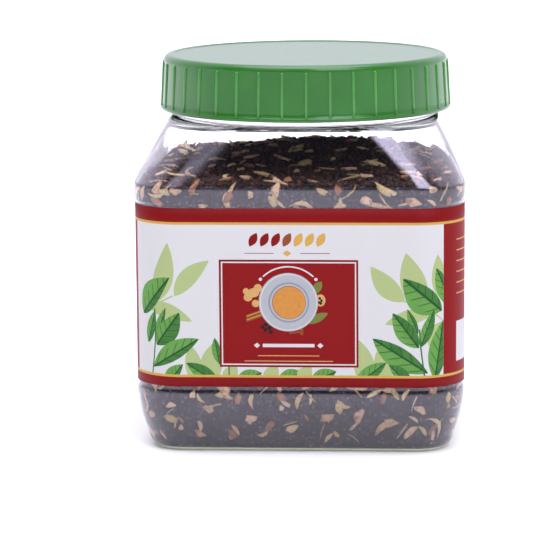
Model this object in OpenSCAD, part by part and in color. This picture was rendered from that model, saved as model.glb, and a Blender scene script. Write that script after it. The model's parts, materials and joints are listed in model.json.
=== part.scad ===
// Square clear plastic jar of dry masala chai: a thin blown body with rounded corners, a sloping
// shoulder with a ledge and a round neck, a ribbed screw cap, a wrap-round label and the dry mix.
// Millimetres. +Z is up and -Y is the front. The origin is the middle of the base, on the table.

/* [Body] */
// Width across the flat sides, at the plain band above the label
body_w = 98.4; // [80:0.2:130]
// Radius of the upright corners
corner_r = 15; // [9:0.5:20]
// Thickness of the plastic wall
wall = 0.8; // [0.5:0.1:1.5]
// Thickness of the base
floor_t = 1.2; // [0.8:0.1:2.5]
// Height of the tapered heel
heel_h = 19.5; // [12:0.5:28]
// How far the heel leans in on each side
heel_in = 3.4; // [1:0.1:6]
// Radius of the rounded edge round the foot
foot_r = 4; // [2:0.5:6]
// Width of the flat ring that stands on the table
foot_ring = 4; // [2:0.5:8]
// Height of the push-up in the middle of the base
push_up = 2.4; // [1:0.1:4]
// Depth of the panel that the label lies in
recess = 0.5; // [0.2:0.1:1.2]
// Height of the plain band between the label panel and the shoulder
band_h = 4.6; // [2:0.2:8]

/* [Shoulder and neck] */
// Height of the sloping shoulder
shoulder_h = 17; // [12:0.2:26]
// Radius of the shoulder's corners at its top
crown_r = 22; // [15:0.5:28]
// How far the top of the shoulder stands out past the neck on each side
crown_out = 1; // [0.6:0.1:3]
// Radius of the shoulder's rounded upper edge
crown_edge = 1.2; // [1:0.1:2.5]
// Outside radius of the neck
neck_r = 40; // [34:0.5:42]
// Height of the neck above the shoulder
neck_h = 16.8; // [11:0.2:20]
// Bare neck that shows under the cap
neck_show = 1.7; // [0.6:0.1:3]
// How far the screw thread stands out
thread_out = 0.9; // [0.6:0.1:1.4]
// Height of one turn of the thread
thread_pitch = 4.4; // [3.4:0.2:6]

/* [Label] */
// Height of the label
label_h = 53.2; // [40:0.2:66]
// Thickness of the label
label_t = 0.2; // [0.1:0.05:0.4]
// Bare panel left above the label, and as much below it
label_gap = 0.5; // [0.2:0.1:2]

/* [Cap] */
// Gap between the neck's thread and the inside of the cap
cap_gap = 0.5; // [0.3:0.1:1]
// Thickness of the cap's skirt where it is thinnest
cap_wall = 1.9; // [1:0.1:2]
// Thickness of the cap's top
cap_top = 1.5; // [1:0.1:3]
// How far the skirt draws in from the lower rim to the top
cap_draft = 0.8; // [0:0.1:1.5]
// Radius of the rounded edge round the cap's top
cap_edge = 2; // [1:0.1:3]
// Number of grip ribs
ribs = 39; // [20:1:60]
// Width of a grip rib
rib_w = 0.9; // [0.6:0.1:1.6]
// How far a grip rib stands out
rib_out = 0.3; // [0.2:0.05:0.45]
// Height of the plain rim under the ribs
rim_h = 1.2; // [0.8:0.1:2]
// Number of lugs inside the cap that catch under the thread
lugs = 6; // [3:1:9]
// How far round the cap each lug runs, in degrees
lug_angle = 26; // [12:2:36]
// Height of a lug
lug_h = 1.1; // [0.7:0.1:1.6]

/* [Contents] */
// How far the dry mix stands above the foot of the shoulder, at the wall
fill_over = 0.6; // [0.3:0.1:4]
// Height of the heap above its edge
heap_h = 5.8; // [1:0.2:6]
// Where the heap is highest, to the right of the middle
heap_x = 6; // [-15:1:15]
// Where the heap is highest, behind the middle
heap_y = 16; // [-10:1:25]

/* [Hidden] */

half_w = body_w / 2;
panel_w = half_w - recess;
panel_r = corner_r - recess;
panel_z0 = heel_h + recess;
panel_z1 = panel_z0 + label_h + 2 * label_gap;
band_z0 = panel_z1 + recess;
band_z1 = band_z0 + band_h;
neck_z = band_z1 + shoulder_h;
mouth_z = neck_z + neck_h;
fill_z = band_z1 + fill_over;
foot_w = half_w - heel_in - foot_r;

cap_z0 = neck_z + neck_show;
cap_h = neck_h - neck_show + cap_top;
cap_z1 = cap_z0 + cap_h;
bore_r = neck_r + thread_out + cap_gap;
rim_out = rib_out + 0.1;
skirt_r = bore_r + cap_wall + cap_draft;
top_r = skirt_r - cap_draft;

// Points round one ring: on each flat side, and on each corner.
SIDE_N = 6;
CORNER_N = 9;
RING_N = 4 * (SIDE_N + CORNER_N);
HEEL_STEPS = 5;
FOOT_STEPS = 4;
SHOULDER_STEPS = 6;
THREAD_STEPS = 11;
HEAP_STEPS = 6;
SHOULDER_CURVE = 1.1;
HEEL_CURVE = 1.7;
SMALLEST_RING = 0.12;
LUMP = 0.5;
LUMP_PITCH = 17;
EDGE_STEPS = 6;
ROUND_FN = 128;

// Directions of the points of a ring, closer together on the corners than on the sides.
core = half_w - corner_r;
edge_angle = atan2(core, half_w);
ANGLES = [for (q = [0:3]) each concat(
    [for (i = [0:SIDE_N - 1]) q * 90 - edge_angle + 2 * edge_angle * i / SIDE_N],
    [for (i = [0:CORNER_N - 1]) let (a = i * 90 / CORNER_N)
        q * 90 + atan2(core + corner_r * sin(a), core + corner_r * cos(a))])];

// Distance from the middle to a square of half width w with corners of radius r, along angle a.
function reach(w, r, a) =
    let (c = max(abs(cos(a)), abs(sin(a))), s = min(abs(cos(a)), abs(sin(a))), k = w - r)
    w * s / c <= k ? w / c : k * (c + s) + sqrt(max(0, r * r - pow(k * (c - s), 2)));

// One ring of points. A ring is [height, half width, corner radius].
function ring_2d(w, r) = [for (a = ANGLES) reach(w, r, a) * [cos(a), sin(a)]];
function ring_3d(g) = [for (p = ring_2d(g[1], g[2])) [p[0], p[1], g[0]]];

// Foot: a quarter round from the standing ring up to the heel.
function foot_rings() = [for (i = [0:FOOT_STEPS]) let (a = i * 90 / FOOT_STEPS)
    [foot_r * (1 - cos(a)), foot_w + foot_r * sin(a), corner_r - heel_in - foot_r * (1 - sin(a))]];

// Heel: it leans out as it rises, ever more upright.
function heel_rings() = [for (i = [1:HEEL_STEPS]) let (t = i / HEEL_STEPS, lean = pow(1 - t, HEEL_CURVE))
    [foot_r + (heel_h - foot_r) * t, half_w - heel_in * lean, corner_r - heel_in * lean]];

// Label panel, set in between two small steps, and the plain band above it.
function panel_rings() = [
    [panel_z0, panel_w, panel_r], [panel_z1, panel_w, panel_r],
    [band_z0, half_w, corner_r], [band_z1, half_w, corner_r]];

// Shoulder: the square closes in and its corners open out a little. Its first ring is where the
// dry mix ends.
crown_w = neck_r + crown_out;
crown_z = neck_z - crown_edge;
function shoulder_rings() = [for (i = [0:SHOULDER_STEPS])
    let (t0 = fill_over / (crown_z - band_z1), t = t0 + (1 - t0) * i / SHOULDER_STEPS)
    [band_z1 + (crown_z - band_z1) * t, half_w - (half_w - crown_w) * pow(t, SHOULDER_CURVE),
        corner_r + (crown_r - corner_r) * t]];

// Ledge: from the shoulder's rounded upper edge in to the round neck. The last number is how far
// the inner wall lies below the outer one.
function ledge_rings() = [
    [neck_z - crown_edge * 0.3, crown_w - crown_edge * 0.3, crown_r - crown_edge * 0.3, wall],
    [neck_z, neck_r, neck_r, wall]];

function body_rings() = concat(foot_rings(), heel_rings(), panel_rings(), shoulder_rings(),
    ledge_rings());

// Thread: one ridge that climbs round the neck and fades out at both ends.
thread_z0 = neck_z + neck_show + rim_h;
thread_z1 = mouth_z - 1;
function thread_turn(z) = (z - thread_z0) / thread_pitch;
function ridge(a, z) = thread_out * max(0, cos(360 * thread_turn(z) - a))
    * min(1, 4 * min(thread_turn(z), (thread_z1 - z) / thread_pitch));
function thread_ring(z) = [for (a = ANGLES) let (r = neck_r + max(0, ridge(a, z)))
    [r * cos(a), r * sin(a), z]];
function thread_points() = [for (i = [0:THREAD_STEPS]) each
    thread_ring(thread_z0 + (thread_z1 - thread_z0) * i / THREAD_STEPS)];

// The same rings one wall thickness further in, above the base.
function inset(g) = [max(g[0] - (len(g) > 3 ? g[3] : 0), floor_t), g[1] - wall, g[2] - wall];
function inner_rings() = [for (g = body_rings()) if (g[0] > foot_r * 0.2) inset(g)];

// Underside: in from the standing ring and up to the push-up. The inside floor follows it.
function base_rings() = [[0, foot_w - foot_ring, corner_r - heel_in - foot_r],
    [push_up, (foot_w - foot_ring) * 0.7, corner_r * 0.7]];
function floor_rings() = [[floor_t, foot_w - foot_ring, corner_r - heel_in - foot_r],
    [push_up + floor_t, (foot_w - foot_ring) * 0.7, corner_r * 0.7]];

// Triangles between rings lo and hi, facing outwards when hi is above lo. The cut across each
// four-sided patch runs the same way in every solid, so that solids that touch share faces.
function band_up(lo, hi) = [for (j = [0:RING_N - 1]) let (k = (j + 1) % RING_N) each [
    [lo * RING_N + j, hi * RING_N + k, lo * RING_N + k],
    [lo * RING_N + j, hi * RING_N + j, hi * RING_N + k]]];
function flipped(faces) = [for (f = faces) [f[2], f[1], f[0]]];
function disc(i) = [for (j = [0:RING_N - 1]) i * RING_N + j];
function backwards(list) = [for (i = [len(list) - 1:-1:0]) list[i]];

// The jar: up the outside from the push-up to the mouth, and down the inside to the floor.
module jar() {
    lower = concat(backwards(base_rings()), body_rings());
    mouth = [mouth_z, neck_r, neck_r];
    inside = concat(backwards(floor_rings()), inner_rings(), [inset(mouth)]);
    n_out = len(lower) + THREAD_STEPS + 2;
    n_in = len(inside);
    color([0.88, 0.9, 0.93, 0.35])
        polyhedron(
            points = concat(
                [for (g = lower) each ring_3d(g)], thread_points(), ring_3d(mouth),
                [for (g = inside) each ring_3d(g)]),
            faces = concat(
                [for (i = [0:n_out - 2]) each band_up(i, i + 1)],
                [for (i = [n_out:n_out + n_in - 2]) each flipped(band_up(i, i + 1))],
                flipped(band_up(n_out + n_in - 1, n_out - 1)),
                [disc(0)],
                [backwards(disc(n_out))]));
}

// The heap: nothing at the wall, highest behind the middle, with low lumps.
function lump(x, y) = LUMP * sin(x * 360 / LUMP_PITCH) * cos(y * 360 / LUMP_PITCH + x * 5);
function heap(p, s) =
    let (d = norm([p[0] - heap_x, p[1] - heap_y]) / half_w)
    (1 - pow(s, 3)) * (heap_h * exp(-1.6 * d * d) + lump(p[0], p[1]));

// A ring of the heap's top: the ring g of the wall, drawn in towards the middle.
function heap_ring(g, s) = [for (p = ring_2d(g[1], g[2])) [p[0] * s, p[1] * s, g[0] + heap(p * s, s)]];

// The dry mix: the inside of the jar up to the fill, then the heap.
module mix() {
    below = concat(backwards(floor_rings()), [for (g = inner_rings()) if (g[0] < fill_z + 0.01) g]);
    n = len(below);
    color([0.13, 0.085, 0.07])
        polyhedron(
            points = concat(
                [for (g = below) each ring_3d(g)],
                [for (i = [1:HEAP_STEPS]) each
                    heap_ring(below[n - 1], 1 - (1 - SMALLEST_RING) * i / HEAP_STEPS)]),
            faces = concat(
                [for (i = [0:n + HEAP_STEPS - 2]) each band_up(i, i + 1)],
                [disc(0)],
                [backwards(disc(n + HEAP_STEPS - 1))]));
}

// The label: a band of the panel's own outline.
module label() {
    color([0.89, 0.88, 0.93])
        translate([0, 0, panel_z0 + label_gap])
            linear_extrude(height = label_h)
                difference() {
                    polygon(ring_2d(panel_w + label_t, panel_r + label_t));
                    polygon(ring_2d(panel_w, panel_r));
                }
}

// One grip rib: a round bar let into the skirt and leaning with it.
module rib() {
    rib_h = cap_h - rim_h - cap_edge;
    lean = atan2(cap_draft, cap_h - cap_edge);
    translate([skirt_r + rib_out - rib_w / 2, 0, cap_z0 + rim_h - 0.2])
        rotate([0, -lean, 0])
            cylinder(h = rib_h, d = rib_w, $fn = 24);
}

// One lug: a short bar round the inside of the skirt, half a turn of thread away from the ridge.
module lug(i) {
    a = i * 360 / lugs;
    z = thread_z0 + thread_pitch * (1 + (a + 180 + lug_angle / 2) % 360 / 360);
    rotate([0, 0, a])
        rotate_extrude(angle = lug_angle, $fn = ROUND_FN)
            translate([bore_r - thread_out, z - lug_h / 2])
                square([thread_out + cap_wall / 2, lug_h]);
}

// The cap: a turned shell with a plain rim, a leaning skirt, a rounded edge, ribs and lugs.
module cap() {
    color([0.2, 0.46, 0.2]) {
        difference() {
            rotate_extrude($fn = ROUND_FN)
                polygon(concat(
                    [[0, cap_z0], [skirt_r + rim_out, cap_z0], [skirt_r + rim_out, cap_z0 + rim_h],
                        [skirt_r, cap_z0 + rim_h]],
                    [for (i = [0:EDGE_STEPS]) let (a = i * 90 / EDGE_STEPS)
                        [top_r - cap_edge * (1 - cos(a)), cap_z1 - cap_edge * (1 - sin(a))]],
                    [[0, cap_z1]]));
            translate([0, 0, cap_z0 - 1])
                cylinder(h = cap_h - cap_top + 1, r = bore_r, $fn = ROUND_FN);
        }
        for (i = [0:ribs - 1]) rotate([0, 0, -90 + i * 360 / ribs]) rib();
        for (i = [0:lugs - 1]) lug(i);
    }
}

jar();
cap();
label();
mix();
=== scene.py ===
"""Looks of a clear square jar of dry masala chai with a ribbed green cap and a picture label."""

import json
import logging
import math
from dataclasses import dataclass
from enum import Enum, IntEnum
from typing import Any, Callable, Dict, Iterable, List, Optional, Sequence, Tuple, Union

import bmesh
import bpy
import numpy as np
from mathutils import Matrix, Vector, noise
from mathutils.geometry import delaunay_2d_cdt

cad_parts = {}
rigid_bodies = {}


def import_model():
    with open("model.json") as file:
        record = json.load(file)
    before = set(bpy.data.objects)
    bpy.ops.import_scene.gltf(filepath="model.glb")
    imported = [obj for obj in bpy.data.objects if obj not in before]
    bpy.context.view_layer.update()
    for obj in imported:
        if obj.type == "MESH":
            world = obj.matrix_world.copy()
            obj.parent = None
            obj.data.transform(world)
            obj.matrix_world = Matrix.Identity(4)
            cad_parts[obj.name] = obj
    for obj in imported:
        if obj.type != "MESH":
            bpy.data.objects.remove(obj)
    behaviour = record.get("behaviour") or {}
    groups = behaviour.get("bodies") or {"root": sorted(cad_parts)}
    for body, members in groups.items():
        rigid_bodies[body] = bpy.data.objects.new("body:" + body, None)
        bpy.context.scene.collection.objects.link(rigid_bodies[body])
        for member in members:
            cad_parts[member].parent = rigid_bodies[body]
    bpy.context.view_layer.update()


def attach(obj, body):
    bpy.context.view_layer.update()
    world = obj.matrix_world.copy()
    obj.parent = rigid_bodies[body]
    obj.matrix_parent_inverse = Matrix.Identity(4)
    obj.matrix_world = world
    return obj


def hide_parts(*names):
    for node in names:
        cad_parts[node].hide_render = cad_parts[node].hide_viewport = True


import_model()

LOG = logging.getLogger("jar")
MM = 0.001
BODY = "root"
IMAGE_SIDE = 533
CLOSE = 1e-6
CROWDING = 1.6

Number = Union[int, float]
Colour = Tuple[float, float, float]
Point2 = Tuple[float, float]


def srgb(red: int, green: int, blue: int) -> Colour:
    """Turns a colour as a screen shows it into the linear values that the shaders use.

    Args:
        red, green, blue: Levels from 0 to 255.

    Returns:
        The three linear values.
    """
    def linear(level: int) -> float:
        """One level in linear light."""
        share = level / 255
        return share / 12.92 if share <= 0.04045 else ((share + 0.055) / 1.055) ** 2.4

    return (linear(red), linear(green), linear(blue))


# ---------------------------------------------------------------- shader maths


def both_ways(operation: str) -> Tuple[Callable[..., "Sock"], Callable[..., "Sock"]]:
    """Makes the method of an operator and that of its reflected form, so that 1 - mask works too."""
    def forward(self: "Sock", other: Any) -> "Sock":
        """The node with self first."""
        return self._math(operation, self, other)

    def reflected(self: "Sock", other: Any) -> "Sock":
        """The node with self second."""
        return self._math(operation, other, self)

    return forward, reflected


class Sock:
    """A shader socket that takes part in Python expressions.

    Numbers add Math nodes and vectors add Vector Math nodes.
    """

    def __init__(self, graph: "Graph", out: bpy.types.NodeSocket) -> None:
        """Wraps one output socket of a graph."""
        self.graph = graph
        self.out = out

    @property
    def is_vector(self) -> bool:
        """True where the socket carries three numbers."""
        return self.out.type in ("VECTOR", "RGBA")

    def _math(self, operation: str, *values: Any) -> "Sock":
        """Adds the Math or Vector Math node for one operation on these values."""
        if any(isinstance(v, Sock) and v.is_vector for v in values):
            spread = [(v, v, v) if isinstance(v, (int, float)) else v for v in values]
            return self.graph.node("ShaderNodeVectorMath", {"operation": operation}, dict(enumerate(spread)))
        return self.graph.node("ShaderNodeMath", {"operation": operation}, dict(enumerate(values)))

    __add__, __radd__ = both_ways("ADD")
    __sub__, __rsub__ = both_ways("SUBTRACT")
    __mul__, __rmul__ = both_ways("MULTIPLY")
    __truediv__, __rtruediv__ = both_ways("DIVIDE")
    __pow__, __rpow__ = both_ways("POWER")
    __gt__, __lt__ = both_ways("GREATER_THAN")

    def abs(self) -> "Sock":
        """The size of self without its sign."""
        return self._math("ABSOLUTE", self)

    def fract(self) -> "Sock":
        """What is left of self above the whole number below it."""
        return self._math("FRACT", self)

    def smooth(self, low: Number, high: Number) -> "Sock":
        """Rises smoothly from 0 at low to 1 at high, or falls where high is below low."""
        flip = high < low
        lo, hi = (high, low) if flip else (low, high)
        risen = self.graph.node(
            "ShaderNodeMapRange", {"interpolation_type": "SMOOTHSTEP", "clamp": True},
            {"Value": self, "From Min": lo, "From Max": hi})
        return 1 - risen if flip else risen

    def parts(self) -> Tuple["Sock", "Sock", "Sock"]:
        """The three numbers of a vector."""
        made = self.graph.add("ShaderNodeSeparateXYZ", {}, {0: self})
        return tuple(Sock(self.graph, o) for o in made.outputs[:3])


class Graph:
    """The node tree of a material or of the world, being built."""

    def __init__(self, owner: Any) -> None:
        """Empties the owner's node tree and starts anew.

        Args:
            owner: A material or a world.
        """
        owner.use_nodes = True
        self.owner = owner
        self.tree = owner.node_tree
        self.tree.nodes.clear()

    def add(self, kind: str, settings: Dict[str, Any], sockets: Dict[Any, Any]) -> bpy.types.Node:
        """Makes a node, sets it up and then fills or links its inputs.

        Args:
            kind: The node's type.
            settings: Its properties, set first; a ramp's stops are under "stops".
            sockets: Values or links, by input name or place.

        Returns:
            The node.
        """
        made = self.tree.nodes.new(kind)
        for key, value in settings.items():
            if key == "stops":
                ramp = made.color_ramp
                while len(ramp.elements) < len(value):
                    ramp.elements.new(0.5)
                for element, (place, colour) in zip(ramp.elements, value):
                    element.position = place
                    element.color = (*colour, 1)
            else:
                setattr(made, key, value)
        for key, value in sockets.items():
            target = made.inputs[key]
            if isinstance(value, Sock):
                self.tree.links.new(value.out, target)
            elif isinstance(value, tuple) and target.type == "RGBA" and len(value) == 3:
                target.default_value = (*value, 1)
            else:
                target.default_value = value
        return made

    def node(self, kind: str, settings: Dict[str, Any], sockets: Dict[Any, Any], output: Any = 0) -> Sock:
        """Makes a node and returns one of its outputs."""
        return Sock(self, self.add(kind, settings, sockets).outputs[output])

    def position(self) -> Sock:
        """The point on the piece, in metres, in its own frame."""
        return self.node("ShaderNodeTexCoord", {}, {}, "Object")

    def attribute(self, name: str) -> Sock:
        """A number stored on the mesh."""
        return self.node("ShaderNodeAttribute", {"attribute_name": name}, {}, "Fac")

    def noise(self, where: Sock, scale: Number, detail: Number = 2.0, roughness: Number = 0.5) -> Sock:
        """Smooth noise from 0 to 1 at a scale in cycles per metre."""
        return self.node("ShaderNodeTexNoise", {}, {
            "Vector": where, "Scale": scale, "Detail": detail, "Roughness": roughness})

    def mix(self, factor: Any, first: Any, second: Any) -> Sock:
        """Blends two colours."""
        made = self.add("ShaderNodeMix", {"data_type": "RGBA"}, {})
        for place, value in ((0, factor), (6, first), (7, second)):
            target = made.inputs[place]
            if isinstance(value, Sock):
                self.tree.links.new(value.out, target)
            else:
                target.default_value = value if place == 0 else (*value, 1)
        return Sock(self, made.outputs[2])

    def bump(self, height: Sock, distance: Number, strength: Number = 1.0) -> Sock:
        """The normal of a surface that a height pattern raises by up to a distance in metres."""
        return self.node("ShaderNodeBump", {}, {"Height": height, "Distance": distance, "Strength": strength})

    def surface(self, **sockets: Any) -> Sock:
        """A Principled shader; its inputs are named with underscores for spaces."""
        return self.node("ShaderNodeBsdfPrincipled", {}, {k.replace("_", " "): v for k, v in sockets.items()})

    def finish(self, shader: Sock) -> Any:
        """Links the shader to the output and returns the owner."""
        kind = "World" if isinstance(self.owner, bpy.types.World) else "Material"
        self.add("ShaderNodeOutput" + kind, {}, {"Surface": shader})
        return self.owner


# ---------------------------------------------------------------- finishes


@dataclass(frozen=True)
class ClearPlastic:
    """Clear blown plastic. The outer face carries a coat, so that it mirrors as two faces do."""

    name: str
    coat: float = 0.0
    tint: Colour = (0.985, 0.985, 0.99)
    ior: float = 1.57
    sheen: Colour = (0.84, 0.8, 1.0)
    shadow: Colour = (0.93, 0.93, 0.935)
    waviness: float = 0.00004

    def build(self) -> bpy.types.Material:
        """Makes the material."""
        graph = Graph(bpy.data.materials.new(self.name))
        ripple = graph.noise(graph.position(), 70, 1.0)
        normal = graph.bump(ripple, self.waviness, 0.6)
        wall = graph.surface(
            Base_Color=self.tint, Roughness=0.015, IOR=self.ior, Transmission_Weight=1.0,
            Coat_Weight=self.coat, Coat_Roughness=0.02, Coat_IOR=1.5,
            Specular_Tint=(*self.sheen, 1), Normal=normal)
        clear = graph.node("ShaderNodeBsdfTransparent", {}, {"Color": self.shadow})
        shadowed = graph.node("ShaderNodeLightPath", {}, {}, "Is Shadow Ray")
        return graph.finish(graph.node("ShaderNodeMixShader", {}, {0: shadowed, 1: wall, 2: clear}))


@dataclass(frozen=True)
class MouldedPlastic:
    """Coloured moulded plastic with faint flow marks."""

    name: str
    colour: Colour
    deep: Colour
    roughness: float = 0.3

    def build(self) -> bpy.types.Material:
        """Makes the material."""
        graph = Graph(bpy.data.materials.new(self.name))
        where = graph.position()
        cloud = graph.noise(where, 90, 3.0)
        grain = graph.noise(where, 1800, 2.0)
        colour = graph.mix(cloud.smooth(0.2, 0.95), self.deep, self.colour)
        normal = graph.bump(grain * 0.5 + cloud * 2.0, 0.00002, 0.5)
        return graph.finish(graph.surface(
            Base_Color=colour, Roughness=grain * 0.12 + (self.roughness - 0.04),
            Coat_Weight=0.45, Coat_Roughness=0.06, Coat_IOR=1.5, IOR=1.4, Normal=normal))


@dataclass(frozen=True)
class PrintedFilm:
    """One ink of the glossy label."""

    name: str
    ink: Colour
    # on the label this is only how much darker the print's mottle goes
    wear_and_highlight: float = 0.06
    gloss: float = 0.14

    def colour(self, graph: Graph, where: Sock) -> Sock:
        """The ink's colour over the film, a little uneven as print is."""
        mottle = graph.noise(where, 900, 2.0)
        darker = tuple(c * (1 - 2 * self.wear_and_highlight) for c in self.ink)
        return graph.mix(mottle, darker, self.ink)

    def build(self) -> bpy.types.Material:
        """Makes the material."""
        graph = Graph(bpy.data.materials.new(self.name))
        where = graph.position()
        cockle = graph.noise(where, 60, 2.0)
        grain = graph.noise(where, 2500, 1.0)
        normal = graph.bump(cockle + grain * 0.08, 0.00006, 0.5)
        return graph.finish(graph.surface(
            Base_Color=self.colour(graph, where), Roughness=0.4 + grain * 0.12,
            Specular_IOR_Level=self.gloss, IOR=1.45, Normal=normal))


@dataclass(frozen=True)
class LeafInk(PrintedFilm):
    """A printed leaf: two greens either side of a dark midrib with slanting veins."""

    light: Colour = (0.2, 0.4, 0.1)
    vein: Colour = (0.02, 0.08, 0.02)

    def colour(self, graph: Graph, where: Sock) -> Sock:
        """The leaf's colour from its own map: U along the leaf and V across it."""
        u, v, _ = graph.node("ShaderNodeUVMap", {"uv_map": "leaf"}, {}).parts()
        across = (v - 0.5).abs() * 2
        broad = graph.noise(where, 300, 2.0)
        body = graph.mix((v > 0.5) * 0.6 + broad * 0.45, self.ink, self.light)
        slant = (u * 5.5 - across * 1.15).fract()
        veins = (slant - 0.5).abs().smooth(0.11, 0.03) * across.smooth(0.98, 0.7)
        midrib = across.smooth(0.13, 0.04)
        mask = graph.node("ShaderNodeMath", {"operation": "MAXIMUM"}, {0: veins * 0.75, 1: midrib})
        return graph.mix(mask, body, self.vein)


@dataclass(frozen=True)
class DryTea:
    """Rolled black tea granules, from near black to red brown, with painted shade in the gaps between
    granules.
    """

    name: str
    dark: Colour
    brown: Colour
    tone: Optional[str] = None
    cell: float = 880.0
    # painted shade: on the core, the gap colour darkens the crevices between granules; on loose granules it
    # makes random dark flecks
    gap: Colour = srgb(12, 9, 10)

    def build(self) -> bpy.types.Material:
        """Makes the material."""
        graph = Graph(bpy.data.materials.new(self.name))
        where = graph.position()
        crinkle = graph.noise(where, 3500, 2.0, 0.6)
        if self.tone:
            shade = graph.attribute(self.tone)
            crown = crinkle.smooth(0.2, 0.5)
        else:
            # painted shade: each Voronoi cell stands for a granule, and its colour darkens to the gap colour
            # towards the cell's edge
            cells = graph.add("ShaderNodeTexVoronoi", {}, {"Vector": where, "Scale": self.cell})
            shade = Sock(graph, cells.outputs["Color"]).parts()[0]
            crown = Sock(graph, cells.outputs["Distance"]).smooth(0.62, 0.2)
        mixed = shade ** 2.0 * 0.8 + crinkle.smooth(0.45, 0.8) * 0.35
        colour = graph.mix(crown, self.gap, graph.mix(mixed, self.dark, self.brown))
        normal = graph.bump(crinkle + crown, 0.00014, 0.8)
        return graph.finish(graph.surface(
            Base_Color=colour, Roughness=0.5 + crinkle * 0.25, IOR=1.4, Normal=normal))


@dataclass(frozen=True)
class DrySpice:
    """Broken dry spice: a pale woody face with fibres, darker along its grooved fibre lines, in spots and
    towards its edges.
    """

    name: str
    pale: Colour
    warm: Colour
    crease: Colour
    fibre: float = 900.0

    def build(self) -> bpy.types.Material:
        """Makes the material."""
        graph = Graph(bpy.data.materials.new(self.name))
        where = graph.position()
        tone = graph.attribute("tone")
        blotch = graph.noise(where, 420, 3.0, 0.6)
        u, v, _ = graph.node("ShaderNodeUVMap", {"uv_map": "grain"}, {}).parts()
        streak = (v * 9 + blotch * 2.5).fract()
        lines = (streak - 0.5).abs().smooth(0.22, 0.04)
        # darker towards the edge of each bit
        rim = graph.attribute("rim").smooth(0.5, 1.0)
        spots = graph.noise(where, 1300, 2.0, 0.6)
        body = graph.mix(tone * 0.7 + blotch * 0.5 - 0.1, self.pale, self.warm)
        dark = lines * 0.35 + spots.smooth(0.5, 0.7) * 0.55 + rim * 0.45
        colour = graph.mix(dark, body, self.crease)
        fine = graph.noise(where, self.fibre * 3, 2.0)
        normal = graph.bump(fine * 0.6 + lines * -0.5, 0.00015, 0.8)
        return graph.finish(graph.surface(Base_Color=colour, Roughness=0.72, IOR=1.4, Normal=normal))


@dataclass(frozen=True)
class PlainFloor:
    """A plain pale table top."""

    name: str = "plain_floor"
    colour: Colour = (0.95, 0.96, 0.94)
    glow: Colour = (1.0, 1.15, 0.6)
    glow_level: float = 0.09

    def build(self) -> bpy.types.Material:
        """Makes the material."""
        graph = Graph(bpy.data.materials.new(self.name))
        return graph.finish(graph.surface(
            Base_Color=self.colour, Roughness=0.6, Emission_Color=self.glow,
            Emission_Strength=self.glow_level))


# ---------------------------------------------------------------- meshes


def mesh_object(name: str, points: np.ndarray, faces: Iterable[Sequence[int]],
                smooth: bool = True) -> bpy.types.Object:
    """Makes an object from points in millimetres.

    Args:
        name: The piece's name.
        points: One row for each vertex.
        faces: Vertex numbers of each face, anticlockwise from outside.
        smooth: Whether its faces are shaded smooth.

    Returns:
        The object, at the origin.
    """
    mesh = bpy.data.meshes.new(name)
    mesh.from_pydata((np.asarray(points, float) * MM).tolist(), [], [list(f) for f in faces])
    mesh.validate()
    mesh.update()
    if smooth:
        mesh.shade_smooth()
    made = bpy.data.objects.new(name, mesh)
    bpy.context.scene.collection.objects.link(made)
    return made


def ring(radius: Any, angles: np.ndarray, z: float) -> np.ndarray:
    """A level ring of points round the axis, at one radius or one for each angle."""
    return np.stack([radius * np.cos(angles), radius * np.sin(angles), np.full(len(angles), z)], 1)


def loop_faces(columns: int, rows: int) -> List[Tuple[int, ...]]:
    """Quads between rings of points that are stacked upwards, facing outwards."""
    return [(i * columns + j, i * columns + (j + 1) % columns,
             (i + 1) * columns + (j + 1) % columns, (i + 1) * columns + j)
            for i in range(rows - 1) for j in range(columns)]


def capped_faces(columns: int, rows: int) -> List[Tuple[int, ...]]:
    """The same quads with both ends closed; the low middle point follows the rings, then the high one."""
    low, last = columns * rows, columns * (rows - 1)
    return [*loop_faces(columns, rows),
            *((low, (j + 1) % columns, j) for j in range(columns)),
            *((low + 1, last + j, last + (j + 1) % columns) for j in range(columns))]


def rounded(points: Sequence[Sequence[float]], times: int = 2, keep: float = 0.25) -> np.ndarray:
    """Cuts the corners of an open line of points, again and again, and keeps its ends."""
    line = np.asarray(points, float)
    for _ in range(times):
        a, b = line[:-1], line[1:]
        cut = np.empty((2 * len(a), line.shape[1]))
        cut[0::2] = a * (1 - keep) + b * keep
        cut[1::2] = a * keep + b * (1 - keep)
        line = np.vstack([line[:1], cut[1:-1], line[-1:]])
    return line


def ease(t: np.ndarray) -> np.ndarray:
    """A smooth step from 0 to 1."""
    t = np.clip(t, 0, 1)
    return t * t * (3 - 2 * t)


def dress(piece: bpy.types.Object, replaced: Sequence[str] = ()) -> bpy.types.Object:
    """Rides a finished piece on the body and the CAD nodes it stands for."""
    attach(piece, BODY)
    if replaced:
        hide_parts(*replaced)
    LOG.info("%s: %d vertices, %d faces", piece.name, len(piece.data.vertices), len(piece.data.polygons))
    return piece


# ---------------------------------------------------------------- geometry nodes


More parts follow.
